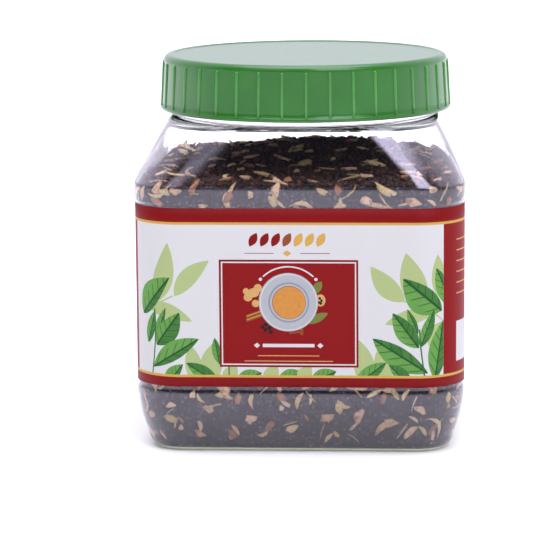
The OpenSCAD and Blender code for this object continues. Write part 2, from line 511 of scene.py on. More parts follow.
class GeoTree:
    """A Geometry Nodes tree with named inputs, run once on a host mesh."""

    def __init__(self, name: str) -> None:
        """Starts a tree with a geometry input and output."""
        self.name = name
        self.tree = bpy.data.node_groups.new(name, "GeometryNodeTree")
        self.tree.interface.new_socket("Geometry", in_out="INPUT", socket_type="NodeSocketGeometry")
        self.tree.interface.new_socket("Geometry", in_out="OUTPUT", socket_type="NodeSocketGeometry")
        self.entry = self.tree.nodes.new("NodeGroupInput")
        self.exit = self.tree.nodes.new("NodeGroupOutput")
        self.values: Dict[str, Any] = {}

    def input(self, name: str, kind: str, value: Any) -> bpy.types.NodeSocket:
        """Adds a named input and remembers the value it is run with."""
        item = self.tree.interface.new_socket(name, in_out="INPUT", socket_type="NodeSocket" + kind)
        self.values[item.identifier] = value
        return self.entry.outputs[name]

    def add(self, kind: str, settings: Dict[str, Any], sockets: Dict[Any, Any]) -> bpy.types.Node:
        """Makes a node, sets it up and fills or links its inputs."""
        made = self.tree.nodes.new(kind)
        for key, value in settings.items():
            setattr(made, key, value)
        for key, value in sockets.items():
            if isinstance(value, bpy.types.NodeSocket):
                self.tree.links.new(value, made.inputs[key])
            else:
                made.inputs[key].default_value = value
        return made

    def random(self, low: Any, high: Any, seed: int, kind: str = "FLOAT") -> bpy.types.NodeSocket:
        """A random number or vector for each point or instance, from a fixed seed."""
        made = self.tree.nodes.new("FunctionNodeRandomValue")
        made.data_type = kind
        low_place, high_place, out = {"FLOAT_VECTOR": (0, 1, 0), "FLOAT": (2, 3, 1), "INT": (4, 5, 2)}[kind]
        for place, value in ((low_place, low), (high_place, high)):
            if isinstance(value, bpy.types.NodeSocket):
                self.tree.links.new(value, made.inputs[place])
            else:
                made.inputs[place].default_value = value
        made.inputs["Seed"].default_value = seed
        return made.outputs[out]

    def close(self, geometry: bpy.types.NodeSocket, finish: bpy.types.Material) -> None:
        """Ends the tree: instances made real, shaded smooth and given their finish."""
        real = self.add("GeometryNodeRealizeInstances", {}, {"Geometry": geometry})
        smooth = self.add("GeometryNodeSetShadeSmooth", {}, {"Geometry": real.outputs[0]})
        ink = self.input("Finish", "Material", finish)
        done = self.add("GeometryNodeSetMaterial", {}, {"Geometry": smooth.outputs[0], "Material": ink})
        self.tree.links.new(done.outputs[0], self.exit.inputs[0])

    def run(self, host: bpy.types.Object, name: str) -> bpy.types.Object:
        """Runs the tree on a host mesh, removes the host and returns the result as a plain piece."""
        modifier = host.modifiers.new(self.name, "NODES")
        modifier.node_group = self.tree
        for identifier, value in self.values.items():
            modifier[identifier] = value
        bpy.context.view_layer.update()
        depsgraph = bpy.context.evaluated_depsgraph_get()
        mesh = bpy.data.meshes.new_from_object(
            host.evaluated_get(depsgraph), preserve_all_data_layers=True, depsgraph=depsgraph)
        host.modifiers.remove(modifier)
        bpy.data.objects.remove(host)
        mesh.name = name
        made = bpy.data.objects.new(name, mesh)
        bpy.context.scene.collection.objects.link(made)
        return made


# ---------------------------------------------------------------- the jar's shape


@dataclass(frozen=True)
class BodyShape:
    """Sizes of the blown body in millimetres, as in the CAD part."""

    half_w: float = 49.2
    corner_r: float = 15.0
    wall: float = 0.8
    floor_t: float = 1.2
    heel_h: float = 19.5
    heel_in: float = 3.4
    heel_power: float = 1.7
    roll_from: float = 0.85
    roll_over: float = 0.15
    roll_share: float = 0.95
    foot_r: float = 4.0
    foot_ring: float = 4.0
    push_up: float = 2.4
    recess: float = 0.5
    label_h: float = 53.2
    label_t: float = 0.2
    label_gap: float = 0.5
    band_h: float = 4.6
    shoulder_h: float = 17.0
    shoulder_power: float = 1.1
    crown_r: float = 22.0
    crown_out: float = 1.0
    crown_edge: float = 1.2
    neck_r: float = 40.0
    neck_h: float = 16.8
    neck_show: float = 1.7
    thread_out: float = 0.9
    thread_pitch: float = 4.4
    fill_over: float = 0.6
    ridge: float = 0.3
    ridge_spread: float = 2.6
    panel_steps: Tuple[float, float, float] = (0.0, 1.2, 14.0)
    band_step: float = 1.6

    @property
    def core(self) -> float:
        """Half the length of a flat side between its rounded corners."""
        return self.half_w - self.corner_r

    @property
    def panel_z0(self) -> float:
        """Bottom of the label panel."""
        return self.heel_h + self.recess

    @property
    def panel_z1(self) -> float:
        """Top of the label panel."""
        return self.panel_z0 + self.label_h + 2 * self.label_gap

    @property
    def label_z0(self) -> float:
        """Bottom edge of the label."""
        return self.panel_z0 + self.label_gap

    @property
    def band_z1(self) -> float:
        """Foot of the shoulder."""
        return self.panel_z1 + self.recess + self.band_h

    @property
    def neck_z(self) -> float:
        """Foot of the neck."""
        return self.band_z1 + self.shoulder_h

    @property
    def mouth_z(self) -> float:
        """Rim of the neck."""
        return self.neck_z + self.neck_h

    @property
    def fill_z(self) -> float:
        """Where the dry mix meets the wall."""
        return self.band_z1 + self.fill_over

    def body_line(self) -> np.ndarray:
        """Rows of height, half width and corner radius, from the standing ring to the neck."""
        rows: List[Tuple[float, float, float]] = []
        for a in np.radians(np.linspace(0, 90, 9)):
            inset = self.heel_in + self.foot_r * (1 - math.sin(a))
            rows.append((self.foot_r * (1 - math.cos(a)), self.half_w - inset, self.corner_r - inset))
        for t in np.linspace(0, 1, 19)[1:]:
            roll = self.recess * max(0.0, (t - self.roll_from) / self.roll_over) ** 2 * self.roll_share
            inset = self.heel_in * (1 - t) ** self.heel_power + roll
            z = self.foot_r + (self.heel_h - self.foot_r) * t
            rows.append((z, self.half_w - inset, self.corner_r - inset))
        w, r = self.half_w - self.recess, self.corner_r - self.recess
        rows += [(self.panel_z0 + step, w, r) for step in self.panel_steps]
        rows += [(self.panel_z1 - step, w, r) for step in reversed(self.panel_steps)]
        top = self.band_z1
        rows += [(z, self.half_w, self.corner_r)
                 for z in (self.panel_z1 + self.recess, top - self.band_step, top)]
        crown_w, crown_z = self.neck_r + self.crown_out, self.neck_z - self.crown_edge
        for t in np.linspace(0, 1, 13)[1:]:
            w = self.half_w - (self.half_w - crown_w) * t ** self.shoulder_power
            rows.append((top + (crown_z - top) * t, w, self.corner_r + (self.crown_r - self.corner_r) * t))
        return np.array(rows)

    def rows_at(self, z: np.ndarray) -> Tuple[np.ndarray, np.ndarray]:
        """Half widths and corner radii of the outer wall at these heights."""
        line = rounded(self.body_line(), 2)
        z = np.asarray(z, float)
        return np.interp(z, line[:, 0], line[:, 1]), np.interp(z, line[:, 0], line[:, 2])

    def wrap(self, s: np.ndarray, z: np.ndarray, depth: np.ndarray) -> np.ndarray:
        """Bends flat points round the wall.

        Args:
            s: Distance round the body from the middle of the front, to the right.
            z: Height.
            depth: How far in from the outer face.

        Returns:
            One row of X, Y and Z for each point.
        """
        w, r = self.rows_at(z)
        return self.around(s, z, w - r, r - np.asarray(depth, float))

    def around(self, s: np.ndarray, z: np.ndarray, core: Any, reach: Any) -> np.ndarray:
        """Bends flat points round a square with rounded corners.

        Args:
            s: Distance round the body from the middle of the front, to the right.
            z: Height.
            core: Half the length of the square's flat sides, one number or one for each point.
            reach: Radius of its corners, likewise.

        Returns:
            One row of X, Y and Z for each point.
        """
        s, z = np.asarray(s, float), np.asarray(z, float)
        turn = np.round(s / self.quarter)
        along = s - turn * self.quarter
        bend = np.maximum(np.abs(along) - self.core, 0) / self.corner_r
        flat = np.sign(along) * np.minimum(np.abs(along), self.core) * core / self.core
        x = flat + np.sign(along) * reach * np.sin(bend)
        y = -core - reach * np.cos(bend)
        angle = turn * (math.pi / 2)
        return np.stack([x * np.cos(angle) - y * np.sin(angle), x * np.sin(angle) + y * np.cos(angle), z], -1)

    @property
    def quarter(self) -> float:
        """Length of a quarter of the way round."""
        return 2 * self.core + self.corner_r * math.pi / 2


def polar_reach(w: float, r: float, angles: np.ndarray) -> np.ndarray:
    """Distance from the middle to a square of half width w and corner radius r, along each angle."""
    c = np.maximum(np.abs(np.cos(angles)), np.abs(np.sin(angles)))
    s = np.minimum(np.abs(np.cos(angles)), np.abs(np.sin(angles)))
    k = w - r
    corner = k * (c + s) + np.sqrt(np.maximum(0, r * r - (k * (c - s)) ** 2))
    return np.where(w * s / c <= k, w / c, corner)


def ring_angles(shape: BodyShape, side: int = 12, corner: int = 16) -> np.ndarray:
    """Directions of the points of a ring, closer together on the corners."""
    found = []
    for q in range(4):
        for i in range(side):
            y = -shape.core + 2 * shape.core * i / side
            found.append(q * math.pi / 2 + math.atan2(y, shape.half_w))
        for i in range(corner):
            a = i * math.pi / 2 / corner
            found.append(q * math.pi / 2 + math.atan2(
                shape.core + shape.corner_r * math.sin(a), shape.core + shape.corner_r * math.cos(a)))
    return np.array(found)


@dataclass
class JarBody:
    """The clear body: one closed wall, with an outer and an inner face."""

    shape: BodyShape
    thread_steps: int = 30
    thread_foot: float = 2.9
    bead_out: float = 0.1
    bead_up: float = 1.0
    bead_spread: float = 0.4
    lip_round: float = 0.25

    def outer_rows(self) -> np.ndarray:
        """Rings from the middle of the underside to the mouth: height, half width, corner radius."""
        s = self.shape
        foot_w = s.half_w - s.heel_in - s.foot_r
        foot_corner = s.corner_r - s.heel_in - s.foot_r
        ring_w = foot_w - s.foot_ring
        under = [(s.push_up, 0.4, 0.4), (s.push_up, 9, 7), (s.push_up, 18, 9),
                 (s.push_up, ring_w * 0.7, 10), (s.push_up * 0.55, ring_w * 0.86, 9),
                 (0.0, ring_w, foot_corner), (0.0, foot_w - 1, foot_corner)]
        crown_w, cut = s.neck_r + s.crown_out, 0.3 * s.crown_edge
        ledge = [(s.neck_z - cut, crown_w - cut, s.crown_r - cut),
                 (s.neck_z, s.neck_r + 0.9, s.crown_r + 6), (s.neck_z + 0.05, s.neck_r, s.neck_r)]
        return rounded([*under, *s.body_line(), *ledge], 2)

    def inner_rows(self) -> np.ndarray:
        """The same rings one wall thickness in, and the floor."""
        s = self.shape
        rows = self.outer_rows()
        underside = rows[:, 1] < s.half_w - s.heel_in - s.foot_r * 0.75
        low = rows[:, 0] < s.foot_r
        drop = np.where(rows[:, 0] > s.neck_z - 0.6 * s.crown_edge, s.wall, 0.0)
        inner = rows - np.array([0, s.wall, s.wall])
        inner[:, 0] = np.where(low, np.maximum(rows[:, 0], 0), rows[:, 0] - drop)
        inner[:, 0] = np.where(low & underside, rows[:, 0] + s.floor_t, inner[:, 0])
        inner[:, 0] = np.where(low & ~underside, np.maximum(inner[:, 0], s.floor_t), inner[:, 0])
        inner[:, 1:] = np.maximum(inner[:, 1:], 0.3)
        return inner

    def rings(self, rows: np.ndarray, angles: np.ndarray) -> List[np.ndarray]:
        """The points of each ring, with a faint ridge down the shoulder's corners."""
        s = self.shape
        off = np.abs(np.degrees(angles) % 90 - 45)
        crest = np.exp(-(off / s.ridge_spread) ** 2)
        made = []
        for z, w, r in rows:
            up = float(ease(np.array((z - s.band_z1 - 1) / 4)) * ease(np.array((s.neck_z - 0.4 - z) / 3)))
            reach = polar_reach(w, min(r, w), angles) + s.ridge * crest * up
            made.append(ring(reach, angles, z))
        return made

    def neck_rings(self, angles: np.ndarray) -> List[np.ndarray]:
        """Rings up the neck with its bead and screw thread, over the rim and down the inside."""
        s = self.shape
        made = []
        z0, z1 = s.neck_z + self.thread_foot, s.mouth_z - 1
        bore = s.neck_r - s.wall
        for z in np.linspace(s.neck_z + 0.25, s.mouth_z - 0.4, self.thread_steps):
            turn = (z - z0) / s.thread_pitch
            fade = np.clip(4 * min(turn, (z1 - z) / s.thread_pitch), 0, 1)
            out = s.thread_out * fade * np.maximum(0, np.cos(2 * math.pi * turn - angles))
            bead = self.bead_out * math.exp(-((z - s.neck_z - self.bead_up) / self.bead_spread) ** 2)
            reach = s.neck_r + out + bead
            made.append(ring(reach, angles, z))
        for z, r in ((s.mouth_z, s.neck_r - self.lip_round), (s.mouth_z, bore + self.lip_round),
                     (s.mouth_z - 0.4, bore), (s.neck_z + 4, bore), (s.neck_z + 0.6, bore)):
            made.append(ring(r, angles, z))
        return made

    def build(self) -> bpy.types.Object:
        """Makes the closed wall and gives it its two faces' finishes."""
        angles = ring_angles(self.shape)
        outer = self.rings(self.outer_rows(), angles)
        neck = self.neck_rings(angles)
        inner = self.rings(self.inner_rows(), angles)[::-1]
        rings = outer + neck + inner
        n = len(angles)
        points = np.vstack([*rings, [[0, 0, rings[0][0, 2]], [0, 0, rings[-1][0, 2]]]])
        made = mesh_object("jar_wall", points, capped_faces(n, len(rings)))
        made.data.materials.append(ClearPlastic("clear_outer", coat=1.0).build())
        made.data.materials.append(ClearPlastic("clear_inner").build())
        rim = (len(outer) + self.thread_steps + 1) * n
        inside = np.array([min(p.vertices) >= rim for p in made.data.polygons], dtype=np.int32)
        made.data.polygons.foreach_set("material_index", inside)
        return dress(made, ["jar"])


# ---------------------------------------------------------------- the cap


@dataclass
class ScrewCap:
    """The green screw cap: a turned shell, and grip ribs round its skirt."""

    shape: BodyShape
    gap: float = 0.5
    wall: float = 1.9
    top: float = 1.5
    draft: float = 0.8
    edge: float = 2.0
    ribs: int = 39
    rib_w: float = 1.0
    rib_out: float = 0.4
    rim_h: float = 1.2
    rim_out: float = 0.4
    dish: float = 0.28
    first_rib: float = 3.5
    segments: int = 312

    @property
    def z0(self) -> float:
        """The cap's lower edge."""
        return self.shape.neck_z + self.shape.neck_show

    @property
    def z1(self) -> float:
        """The cap's top."""
        return self.shape.mouth_z + self.top

    @property
    def bore_r(self) -> float:
        """Radius inside the skirt."""
        return self.shape.neck_r + self.shape.thread_out + self.gap

    @property
    def skirt_r(self) -> float:
        """Radius of the skirt at its foot."""
        return self.bore_r + self.wall + self.draft

    def profile(self) -> np.ndarray:
        """Radius and height, from the middle of the underside of the top, out and up over the cap."""
        rim_r = self.skirt_r + self.rim_out
        top_r = self.skirt_r - self.draft
        rim_z = self.z0 + self.rim_h
        skirt_z, turn_z = rim_z + 0.15, self.z1 - self.edge
        lip, brim = self.z1 - self.dish, top_r - self.edge
        under = self.z1 - self.top
        inside = rounded([(0.0, under), (20, under), (self.bore_r - 0.5, under), (self.bore_r, under - 0.6),
                          (self.bore_r, self.z0 + 2), (self.bore_r + 0.1, self.z0 + 0.3)], 2)
        foot = rounded([(self.bore_r + 0.2, self.z0), (rim_r - 0.35, self.z0), (rim_r, self.z0 + 0.35),
                        (rim_r, rim_z - 0.3), (rim_r - 0.15, rim_z), (self.skirt_r, skirt_z)], 2)
        skirt = [(self.skirt_r - self.draft * t, skirt_z + (turn_z - skirt_z) * t)
                 for t in np.linspace(0, 1, 12)[1:]]
        turn = [(top_r - self.edge * (1 - math.cos(a)), self.z1 - self.edge * (1 - math.sin(a)))
                for a in np.radians(np.linspace(0, 90, 11)[1:])]
        over = rounded([(brim - 0.3, self.z1), (brim - 0.9, self.z1), (brim - 1.3, lip), (brim - 2.2, lip),
                        (20, lip - 0.05), (0.0, lip - 0.05)], 2)
        return np.array([*inside, *foot, *skirt, *turn, *over])

    def shell(self, finish: bpy.types.Material) -> bpy.types.Object:
        """Turns the profile round the axis into a closed shell."""
        line = self.profile()
        angles = np.linspace(0, 2 * math.pi, self.segments, endpoint=False)
        rings = [ring(r, angles, z) for r, z in line[1:-1]]
        points = np.vstack([*rings, [[0, 0, line[0][1]], [0, 0, line[-1][1]]]])
        made = mesh_object("cap_shell", points, capped_faces(self.segments, len(rings)))
        made.data.materials.append(finish)
        return dress(made, ["cap"])

    def rib_bar(self) -> bpy.types.Object:
        """One rib as a closed half-round bar with a round upper end, standing on +X of its origin."""
        height = self.z1 - self.edge - self.z0 - self.rim_h + 0.1
        rows = []
        radius, sides = self.rib_w / 2, 10
        steps = [(0.0, 1.0), *[(t * (height - radius), 1.0) for t in (0.33, 0.66, 1.0)],
                 *[(height - radius + radius * math.sin(a), math.cos(a)) for a in np.radians((30, 60, 80))]]
        around = np.radians(np.linspace(0, 360, sides, endpoint=False))
        for z, share in steps:
            lean = -self.draft * z / (self.z1 - self.edge - self.z0)
            rows.append(ring(radius * share, around, z) + np.array([lean, 0, 0]))
        top = sides * (len(rows) - 1)
        ends = [tuple(reversed(range(sides))), tuple(range(top, top + sides))]
        return mesh_object("rib_bar", np.vstack(rows), loop_faces(sides, len(rows)) + ends)

    def grip(self, finish: bpy.types.Material) -> bpy.types.Object:
        """Sets the ribs round the skirt with a Geometry Nodes tree."""
        bar = self.rib_bar()
        tree = GeoTree("grip_ribs")
        count = tree.input("Ribs", "Int", self.ribs)
        radius = tree.input("Radius", "Float", (self.skirt_r + self.rib_out - self.rib_w / 2) * MM)
        height = tree.input("Height", "Float", (self.z0 + self.rim_h - 0.05) * MM)
        source = tree.input("Rib", "Object", bar)
        circle = tree.add("GeometryNodeMeshCircle", {}, {"Vertices": count, "Radius": radius})
        lift = tree.add("ShaderNodeCombineXYZ", {}, {"Z": height})
        placed = tree.add("GeometryNodeTransform", {}, {
            "Geometry": circle.outputs[0], "Translation": lift.outputs[0],
            "Rotation": (0, 0, math.radians(self.first_rib - 90))})
        place = tree.add("GeometryNodeInputPosition", {}, {})
        flat = tree.add("ShaderNodeVectorMath", {"operation": "MULTIPLY"}, {
            0: place.outputs[0], 1: (1, 1, 0)})
        turn = tree.add("FunctionNodeAlignEulerToVector", {"axis": "X"}, {"Vector": flat.outputs[0]})
        shape = tree.add("GeometryNodeObjectInfo", {}, {"Object": source})
        bars = tree.add("GeometryNodeInstanceOnPoints", {}, {
            "Points": placed.outputs[0], "Instance": shape.outputs["Geometry"], "Rotation": turn.outputs[0]})
        tree.close(bars.outputs[0], finish)
        made = tree.run(mesh_object("grip_host", np.zeros((1, 3)), []), "cap_ribs")
        bpy.data.objects.remove(bar)
        return dress(made)

    def build(self) -> List[bpy.types.Object]:
        """Makes the shell and its ribs; the ribs get a lighter green than the shell, a painted highlight."""
        finish = MouldedPlastic("green_cap", srgb(36, 112, 26), srgb(30, 100, 22)).build()
        # painted highlight: the ribs' finish is a lighter copy of the cap's green, so that they read as lit
        # ridges
        wear_and_highlight = MouldedPlastic("green_ribs_highlit", srgb(66, 144, 54), srgb(54, 126, 46)).build()
        return [self.shell(finish), self.grip(wear_and_highlight)]


# ---------------------------------------------------------------- the label


class Ink(IntEnum):
    """The inks of the label, in the order of the piece's material slots."""

    FILM = 0
    RED = 1
    GOLD = 2
    PALE_LEAF = 3
    DARK_LEAF = 4
    STEM = 5
    CHINA = 6
    CHINA_SHADE = 7
    TEA = 8
    GINGER = 9
    BARK = 10
    PEPPER = 11
    POD = 12
    BAND_RED = 13


@dataclass(frozen=True)
class Patch:
    """A closed shape in one ink. Later patches cover earlier ones."""

    ink: Ink
    outline: Tuple[Point2, ...]
    axis: Optional[Tuple[Point2, Point2, float]] = None

    def local(self, s: float, z: float) -> Point2:
        """Where a point lies along and across the patch's own axis, each from 0 to 1."""
        if self.axis is None:
            return (s / 20, z / 20)
        (s0, z0), (s1, z1), width = self.axis
        ds, dz = s1 - s0, z1 - z0
        length = math.hypot(ds, dz)
        along = ((s - s0) * ds + (z - z0) * dz) / length ** 2
        across = (-(s - s0) * dz + (z - z0) * ds) / length / width
        return (along, 0.5 + across)

    def placed(self, shift: float, low: Point2, high: Point2) -> "Patch":
        """The patch moved along the label and kept between two corners."""
        line = tuple((min(max(s + shift, low[0]), high[0]), min(max(z, low[1]), high[1]))
                     for s, z in self.outline)
        axis = self.axis
        if axis is not None:
            (s0, z0), (s1, z1), width = axis
            axis = ((s0 + shift, z0), (s1 + shift, z1), width)
        return Patch(self.ink, line, axis)


def rect(ink: Ink, s0: float, z0: float, s1: float, z1: float) -> Patch:
    """An upright rectangle."""
    return Patch(ink, ((s0, z0), (s1, z0), (s1, z1), (s0, z1)))


def disc(ink: Ink, s: float, z: float, r: float, n: int = 40, squash: float = 1.0) -> Patch:
    """A round or oval spot."""
    return Patch(ink, tuple((s + r * math.cos(a), z + r * squash * math.sin(a))
                            for a in np.linspace(0, 2 * math.pi, n, endpoint=False)))


def leaf(ink: Ink, base: Point2, tip: Point2, width: float, bow: float = 0.0, belly: float = 0.42) -> Patch:
    """A pointed leaf from its stalk to its tip.

    Args:
        ink: Its ink.
        base, tip: Its two ends.
        width: Its greatest width.
        bow: How far its middle line bends to the left.
        belly: Where along it the leaf is widest, from 0 to 1.

    Returns:
        The patch, with its axis for veins.
    """
    (s0, z0), (s1, z1) = base, tip
    ds, dz = s1 - s0, z1 - z0
    length = math.hypot(ds, dz)
    us, uz = ds / length, dz / length
    left, right = [], []
    power = math.log(0.5) / math.log(belly)
    for t in np.linspace(0, 1, 17):
        half = width / 2 * math.sin(math.pi * t ** power) ** 0.85 if 0 < t < 1 else 0.0
        bend = bow * 4 * t * (1 - t)
        cs, cz = s0 + ds * t - uz * bend, z0 + dz * t + us * bend
        left.append((cs - uz * half, cz + us * half))
        right.append((cs + uz * half, cz - us * half))
    return Patch(ink, tuple(right[:-1] + left[:0:-1]), (base, tip, width))


def stem(ink: Ink, points: Sequence[Point2], width: float) -> Patch:
    """A thin line of even width through a few points."""
    line = rounded(points, 2)
    step = np.gradient(line, axis=0)
    side = np.stack([-step[:, 1], step[:, 0]], 1) / np.linalg.norm(step, axis=1)[:, None] * width / 2
    return Patch(ink, tuple(map(tuple, np.vstack([line + side, (line - side)[::-1]]))))


@dataclass
class PictureLabel:
    """The wrap-round label: colour fields and a simple picture, drawn flat and bent round the body."""

    shape: BodyShape
    band_h: float = 4.2
    foot_h: float = 2.85
    gold_h: float = 0.75
    square: Tuple[float, float, float, float] = (-22.9, 26.5, 17.9, 58.5)
    cup_at: Point2 = (-2.6, 45.9)
    line_step: float = 1.1
    shift: float = -3.0
    white_left: float = 2.6
    white_right: float = 0.5
    arch_r: float = 10.6
    merge: float = 1e-4

    @property
    def z0(self) -> float:
        """Bottom edge."""
        return self.shape.label_z0

    @property
    def z1(self) -> float:
        """Top edge."""
        return self.z0 + self.shape.label_h

    def left_leaves(self) -> List[Patch]:
        """The spray of leaves that rises at the left of a front panel."""
        pale, dark = Ink.PALE_LEAF, Ink.DARK_LEAF
        foot = self.z0 + self.foot_h
        return [
            leaf(pale, (-42.6, 45.5), (-38.2, 63.4), 6.6, -1.0, 0.4),
            leaf(pale, (-36.2, 47.6), (-25.8, 58.2), 5.2, 0.9, 0.45),
            stem(Ink.PALE_LEAF, [(-45.5, 43.0), (-42.0, 45.0), (-36.6, 47.6)], 0.5),
            leaf(pale, (-46.0, 44.5), (-30.9, 40.0), 4.6, 0.8, 0.45),
            leaf(pale, (-29.6, foot - 3), (-31.6, 33.0), 5.0, 0.0, 0.5),
            leaf(pale, (-26.2, foot - 4), (-23.6, 34.5), 6.6, 0.6, 0.5),
            leaf(dark, (-47.8, 41.5), (-37.6, 53.0), 7.0, 1.6, 0.42),
            leaf(dark, (-42.4, 33.5), (-39.0, 44.0), 2.8, 0.3, 0.45),
            leaf(dark, (-42.2, 32.6), (-34.7, 42.6), 6.4, -0.5, 0.45),
            leaf(dark, (-45.5, 33.0), (-42.6, 43.0), 3.4, 0.2, 0.45),
            leaf(dark, (-43.6, 25.9), (-29.0, 34.8), 5.6, 0.9, 0.5),
            stem(Ink.STEM, [(-44.0, foot), (-43.2, 29.0), (-42.4, 37.0), (-42.8, 43.5)], 0.45),
            leaf(dark, (-22.8, foot - 2.5), (-32.8, 27.6), 4.4, -0.3, 0.5),
            leaf(dark, (-39.6, foot - 3), (-33.8, 27.2), 4.0, 0.6, 0.5),
            leaf(dark, (-23.0, 27.2), (-24.4, 35.2), 2.6, 0.2, 0.5),
        ]

    def right_leaves(self) -> List[Patch]:
        """The spray of leaves at the right of a front panel."""
        pale, dark = Ink.PALE_LEAF, Ink.DARK_LEAF
        foot = self.z0 + self.foot_h
        return [
            leaf(pale, (31.4, 46.2), (21.5, 56.6), 6.0, 0.8, 0.45),
            leaf(pale, (36.8, 45.0), (31.8, 60.6), 7.6, 0.6, 0.42),
            leaf(pale, (42.5, 47.0), (41.4, 60.0), 5.0, 0.0, 0.42),
            stem(Ink.PALE_LEAF, [(31.2, 46.3), (36.5, 45.2), (42.0, 41.5), (45.5, 38.0)], 0.5),
            leaf(pale, (39.4, 42.6), (25.6, 39.4), 4.4, -0.5, 0.45),
            leaf(pale, (26.6, foot - 3), (24.0, 33.0), 5.2, 0.2, 0.5),
            leaf(pale, (20.6, foot - 4), (17.6, 35.0), 6.2, -0.4, 0.5),
            leaf(pale, (38.5, 33.0), (43.5, 40.0), 5.0, 0.0, 0.5),
            leaf(dark, (42.9, 43.2), (31.0, 53.0), 8.4, 1.4, 0.45),
            leaf(dark, (46.6, 44.0), (41.0, 56.0), 5.2, 0.3, 0.45),
            leaf(dark, (35.4, 36.6), (32.2, 44.0), 2.4, 0.2, 0.45),
            leaf(dark, (35.6, 32.4), (27.9, 42.8), 5.8, 0.4, 0.45),
            leaf(dark, (36.1, 32.6), (40.3, 43.8), 3.6, -0.2, 0.45),
            leaf(dark, (38.4, 24.8), (22.0, 35.2), 6.6, 0.9, 0.5),
            leaf(dark, (40.6, foot - 0.5), (43.4, 40.4), 6.0, 0.4, 0.45),
            stem(Ink.STEM, [(37.4, foot), (36.6, 29.0), (36.0, 34.0), (35.8, 38.0)], 0.45),
            leaf(dark, (16.4, foot - 2.5), (26.0, 28.0), 4.4, 0.3, 0.5),
            leaf(dark, (33.6, foot - 3), (26.8, 27.4), 4.0, -0.5, 0.5),
        ]

    def foot_leaves(self) -> List[Patch]:
        """Small leaves that show along the bottom of a front panel, under the square."""
        foot = self.z0 + self.foot_h
        made = []
        for k, s in enumerate((-14.5, -2.4, 7.4)):
            tip = (s + 4, foot + 1.4 + 0.3 * k)
            made.append(leaf(Ink.PALE_LEAF, (s - 7, foot - 2), (s - 3.5, foot + 3.6), 4.4, 0.2, 0.5))
            made.append(leaf(Ink.DARK_LEAF, (s - 4, foot - 1.6), tip, 4.2, 0.4, 0.5))
        made.append(stem(Ink.STEM, [(-20.2, foot), (-20.2, 26.6)], 0.4))
        return made

    def cup(self) -> List[Patch]:
        """A cup of tea on its saucer, seen from above."""
        s, z = self.cup_at
        rings = ((8.7, Ink.CHINA), (8.4, Ink.FILM), (8.15, Ink.CHINA), (6.0, Ink.CHINA_SHADE),
                 (5.5, Ink.CHINA), (4.95, Ink.BARK), (4.8, Ink.TEA))
        return [disc(ink, s + 0.04 * k, z - 0.02 * k, r, 48) for k, (r, ink) in enumerate(rings)]

    def spices(self) -> List[Patch]:
        """Whole spices laid round the saucer."""
        s, z = self.cup_at
        made = []
        for ds, dz, r, q in ((-10.2, 2.8, 1.7, 0.8), (-11.8, 1.4, 1.3, 0.9), (-8.9, 4.2, 1.2, 1.0),
                             (-9.6, -0.4, 1.1, 1.0), (-12.4, 3.2, 0.9, 1.1)):
            made.append(disc(Ink.GINGER, s + ds, z + dz, r, 18, q))
        made.append(leaf(Ink.GINGER, (s - 13.0, z + 1.0), (s - 8.6, z + 4.8), 1.1, 0.3, 0.5))
        for off in (0.0, 1.1):
            made.append(stem(Ink.BARK, [(s - 12.4, z - 4.4 - off), (s - 7.4, z - 2.6 - off)], 1.0))
            made.append(stem(Ink.GOLD, [(s - 12.2, z - 4.2 - off), (s - 7.8, z - 2.6 - off)], 0.22))
        for ds, dz in ((-6.6, -6.6), (-5.6, -7.7), (-4.7, -6.9), (-6.8, -8.2), (-5.2, -8.9), (-7.6, -7.4)):
            made.append(disc(Ink.PEPPER, s + ds, z + dz, 0.62, 14))
        made.append(stem(Ink.BARK, [(s + 0.2, z - 9.2), (s + 3.6, z - 8.8)], 0.5))
        made += [disc(Ink.BARK, s + 3.9, z - 8.8 + d, 0.5, 10) for d in (-0.5, 0.5)]
        made.append(leaf(Ink.POD, (s + 6.0, z - 6.4), (s + 11.6, z - 3.2), 2.4, 0.2, 0.5))
        made.append(leaf(Ink.POD, (s + 7.6, z + 2.4), (s + 9.8, z + 6.2), 2.5, 0.2, 0.5))
        made.append(disc(Ink.GINGER, s + 9.4, z + 0.6, 1.5, 18, 1.2))
        made += [disc(Ink.PEPPER, s + 9.2 + dx, z + 0.6 + dz, 0.42, 10) for dx, dz in
                 ((0, 0.6), (0.5, -0.1), (-0.3, -0.6), (0.3, -0.9))]
        return made

    def square_field(self) -> List[Patch]:
        """The red square with its thin inner line, and bare bars where writing would be."""
        s0, z0, s1, z1 = self.square
        s, z = self.cup_at
        arch = [(s + self.arch_r * math.sin(a), z + self.arch_r * math.cos(a))
                for a in np.radians(np.linspace(-44, 44, 9))]
        bead_s, bead_z = (self.arch_r * way(math.radians(50)) for way in (math.sin, math.cos))
        made = [rect(ink, s0 + inset, z0 + inset, s1 - inset, z1 - inset)
                for ink, inset in ((Ink.BAND_RED, 0.0), (Ink.FILM, 0.6), (Ink.RED, 1.0))]
        made += [*self.spices(), *self.cup(), stem(Ink.FILM, arch, 0.42)]
        made += [disc(Ink.FILM, s + side * bead_s, z + bead_z, 0.5, 12) for side in (-1, 1)]
        made.append(rect(Ink.FILM, s - 7.6, 32.5, s + 7.6, 33.5))
        made += [Patch(Ink.FILM, ((s + side * 8.4, 33.0), (s + side * 9.3, 33.8), (s + side * 10.2, 33.0),
                                  (s + side * 9.3, 32.2))) for side in (-1, 1)]
        made += [rect(Ink.GINGER, s - half, low, s + half, low + 0.25)
                 for half, low in ((9.0, 29.8), (13.0, 28.2))]
        return made

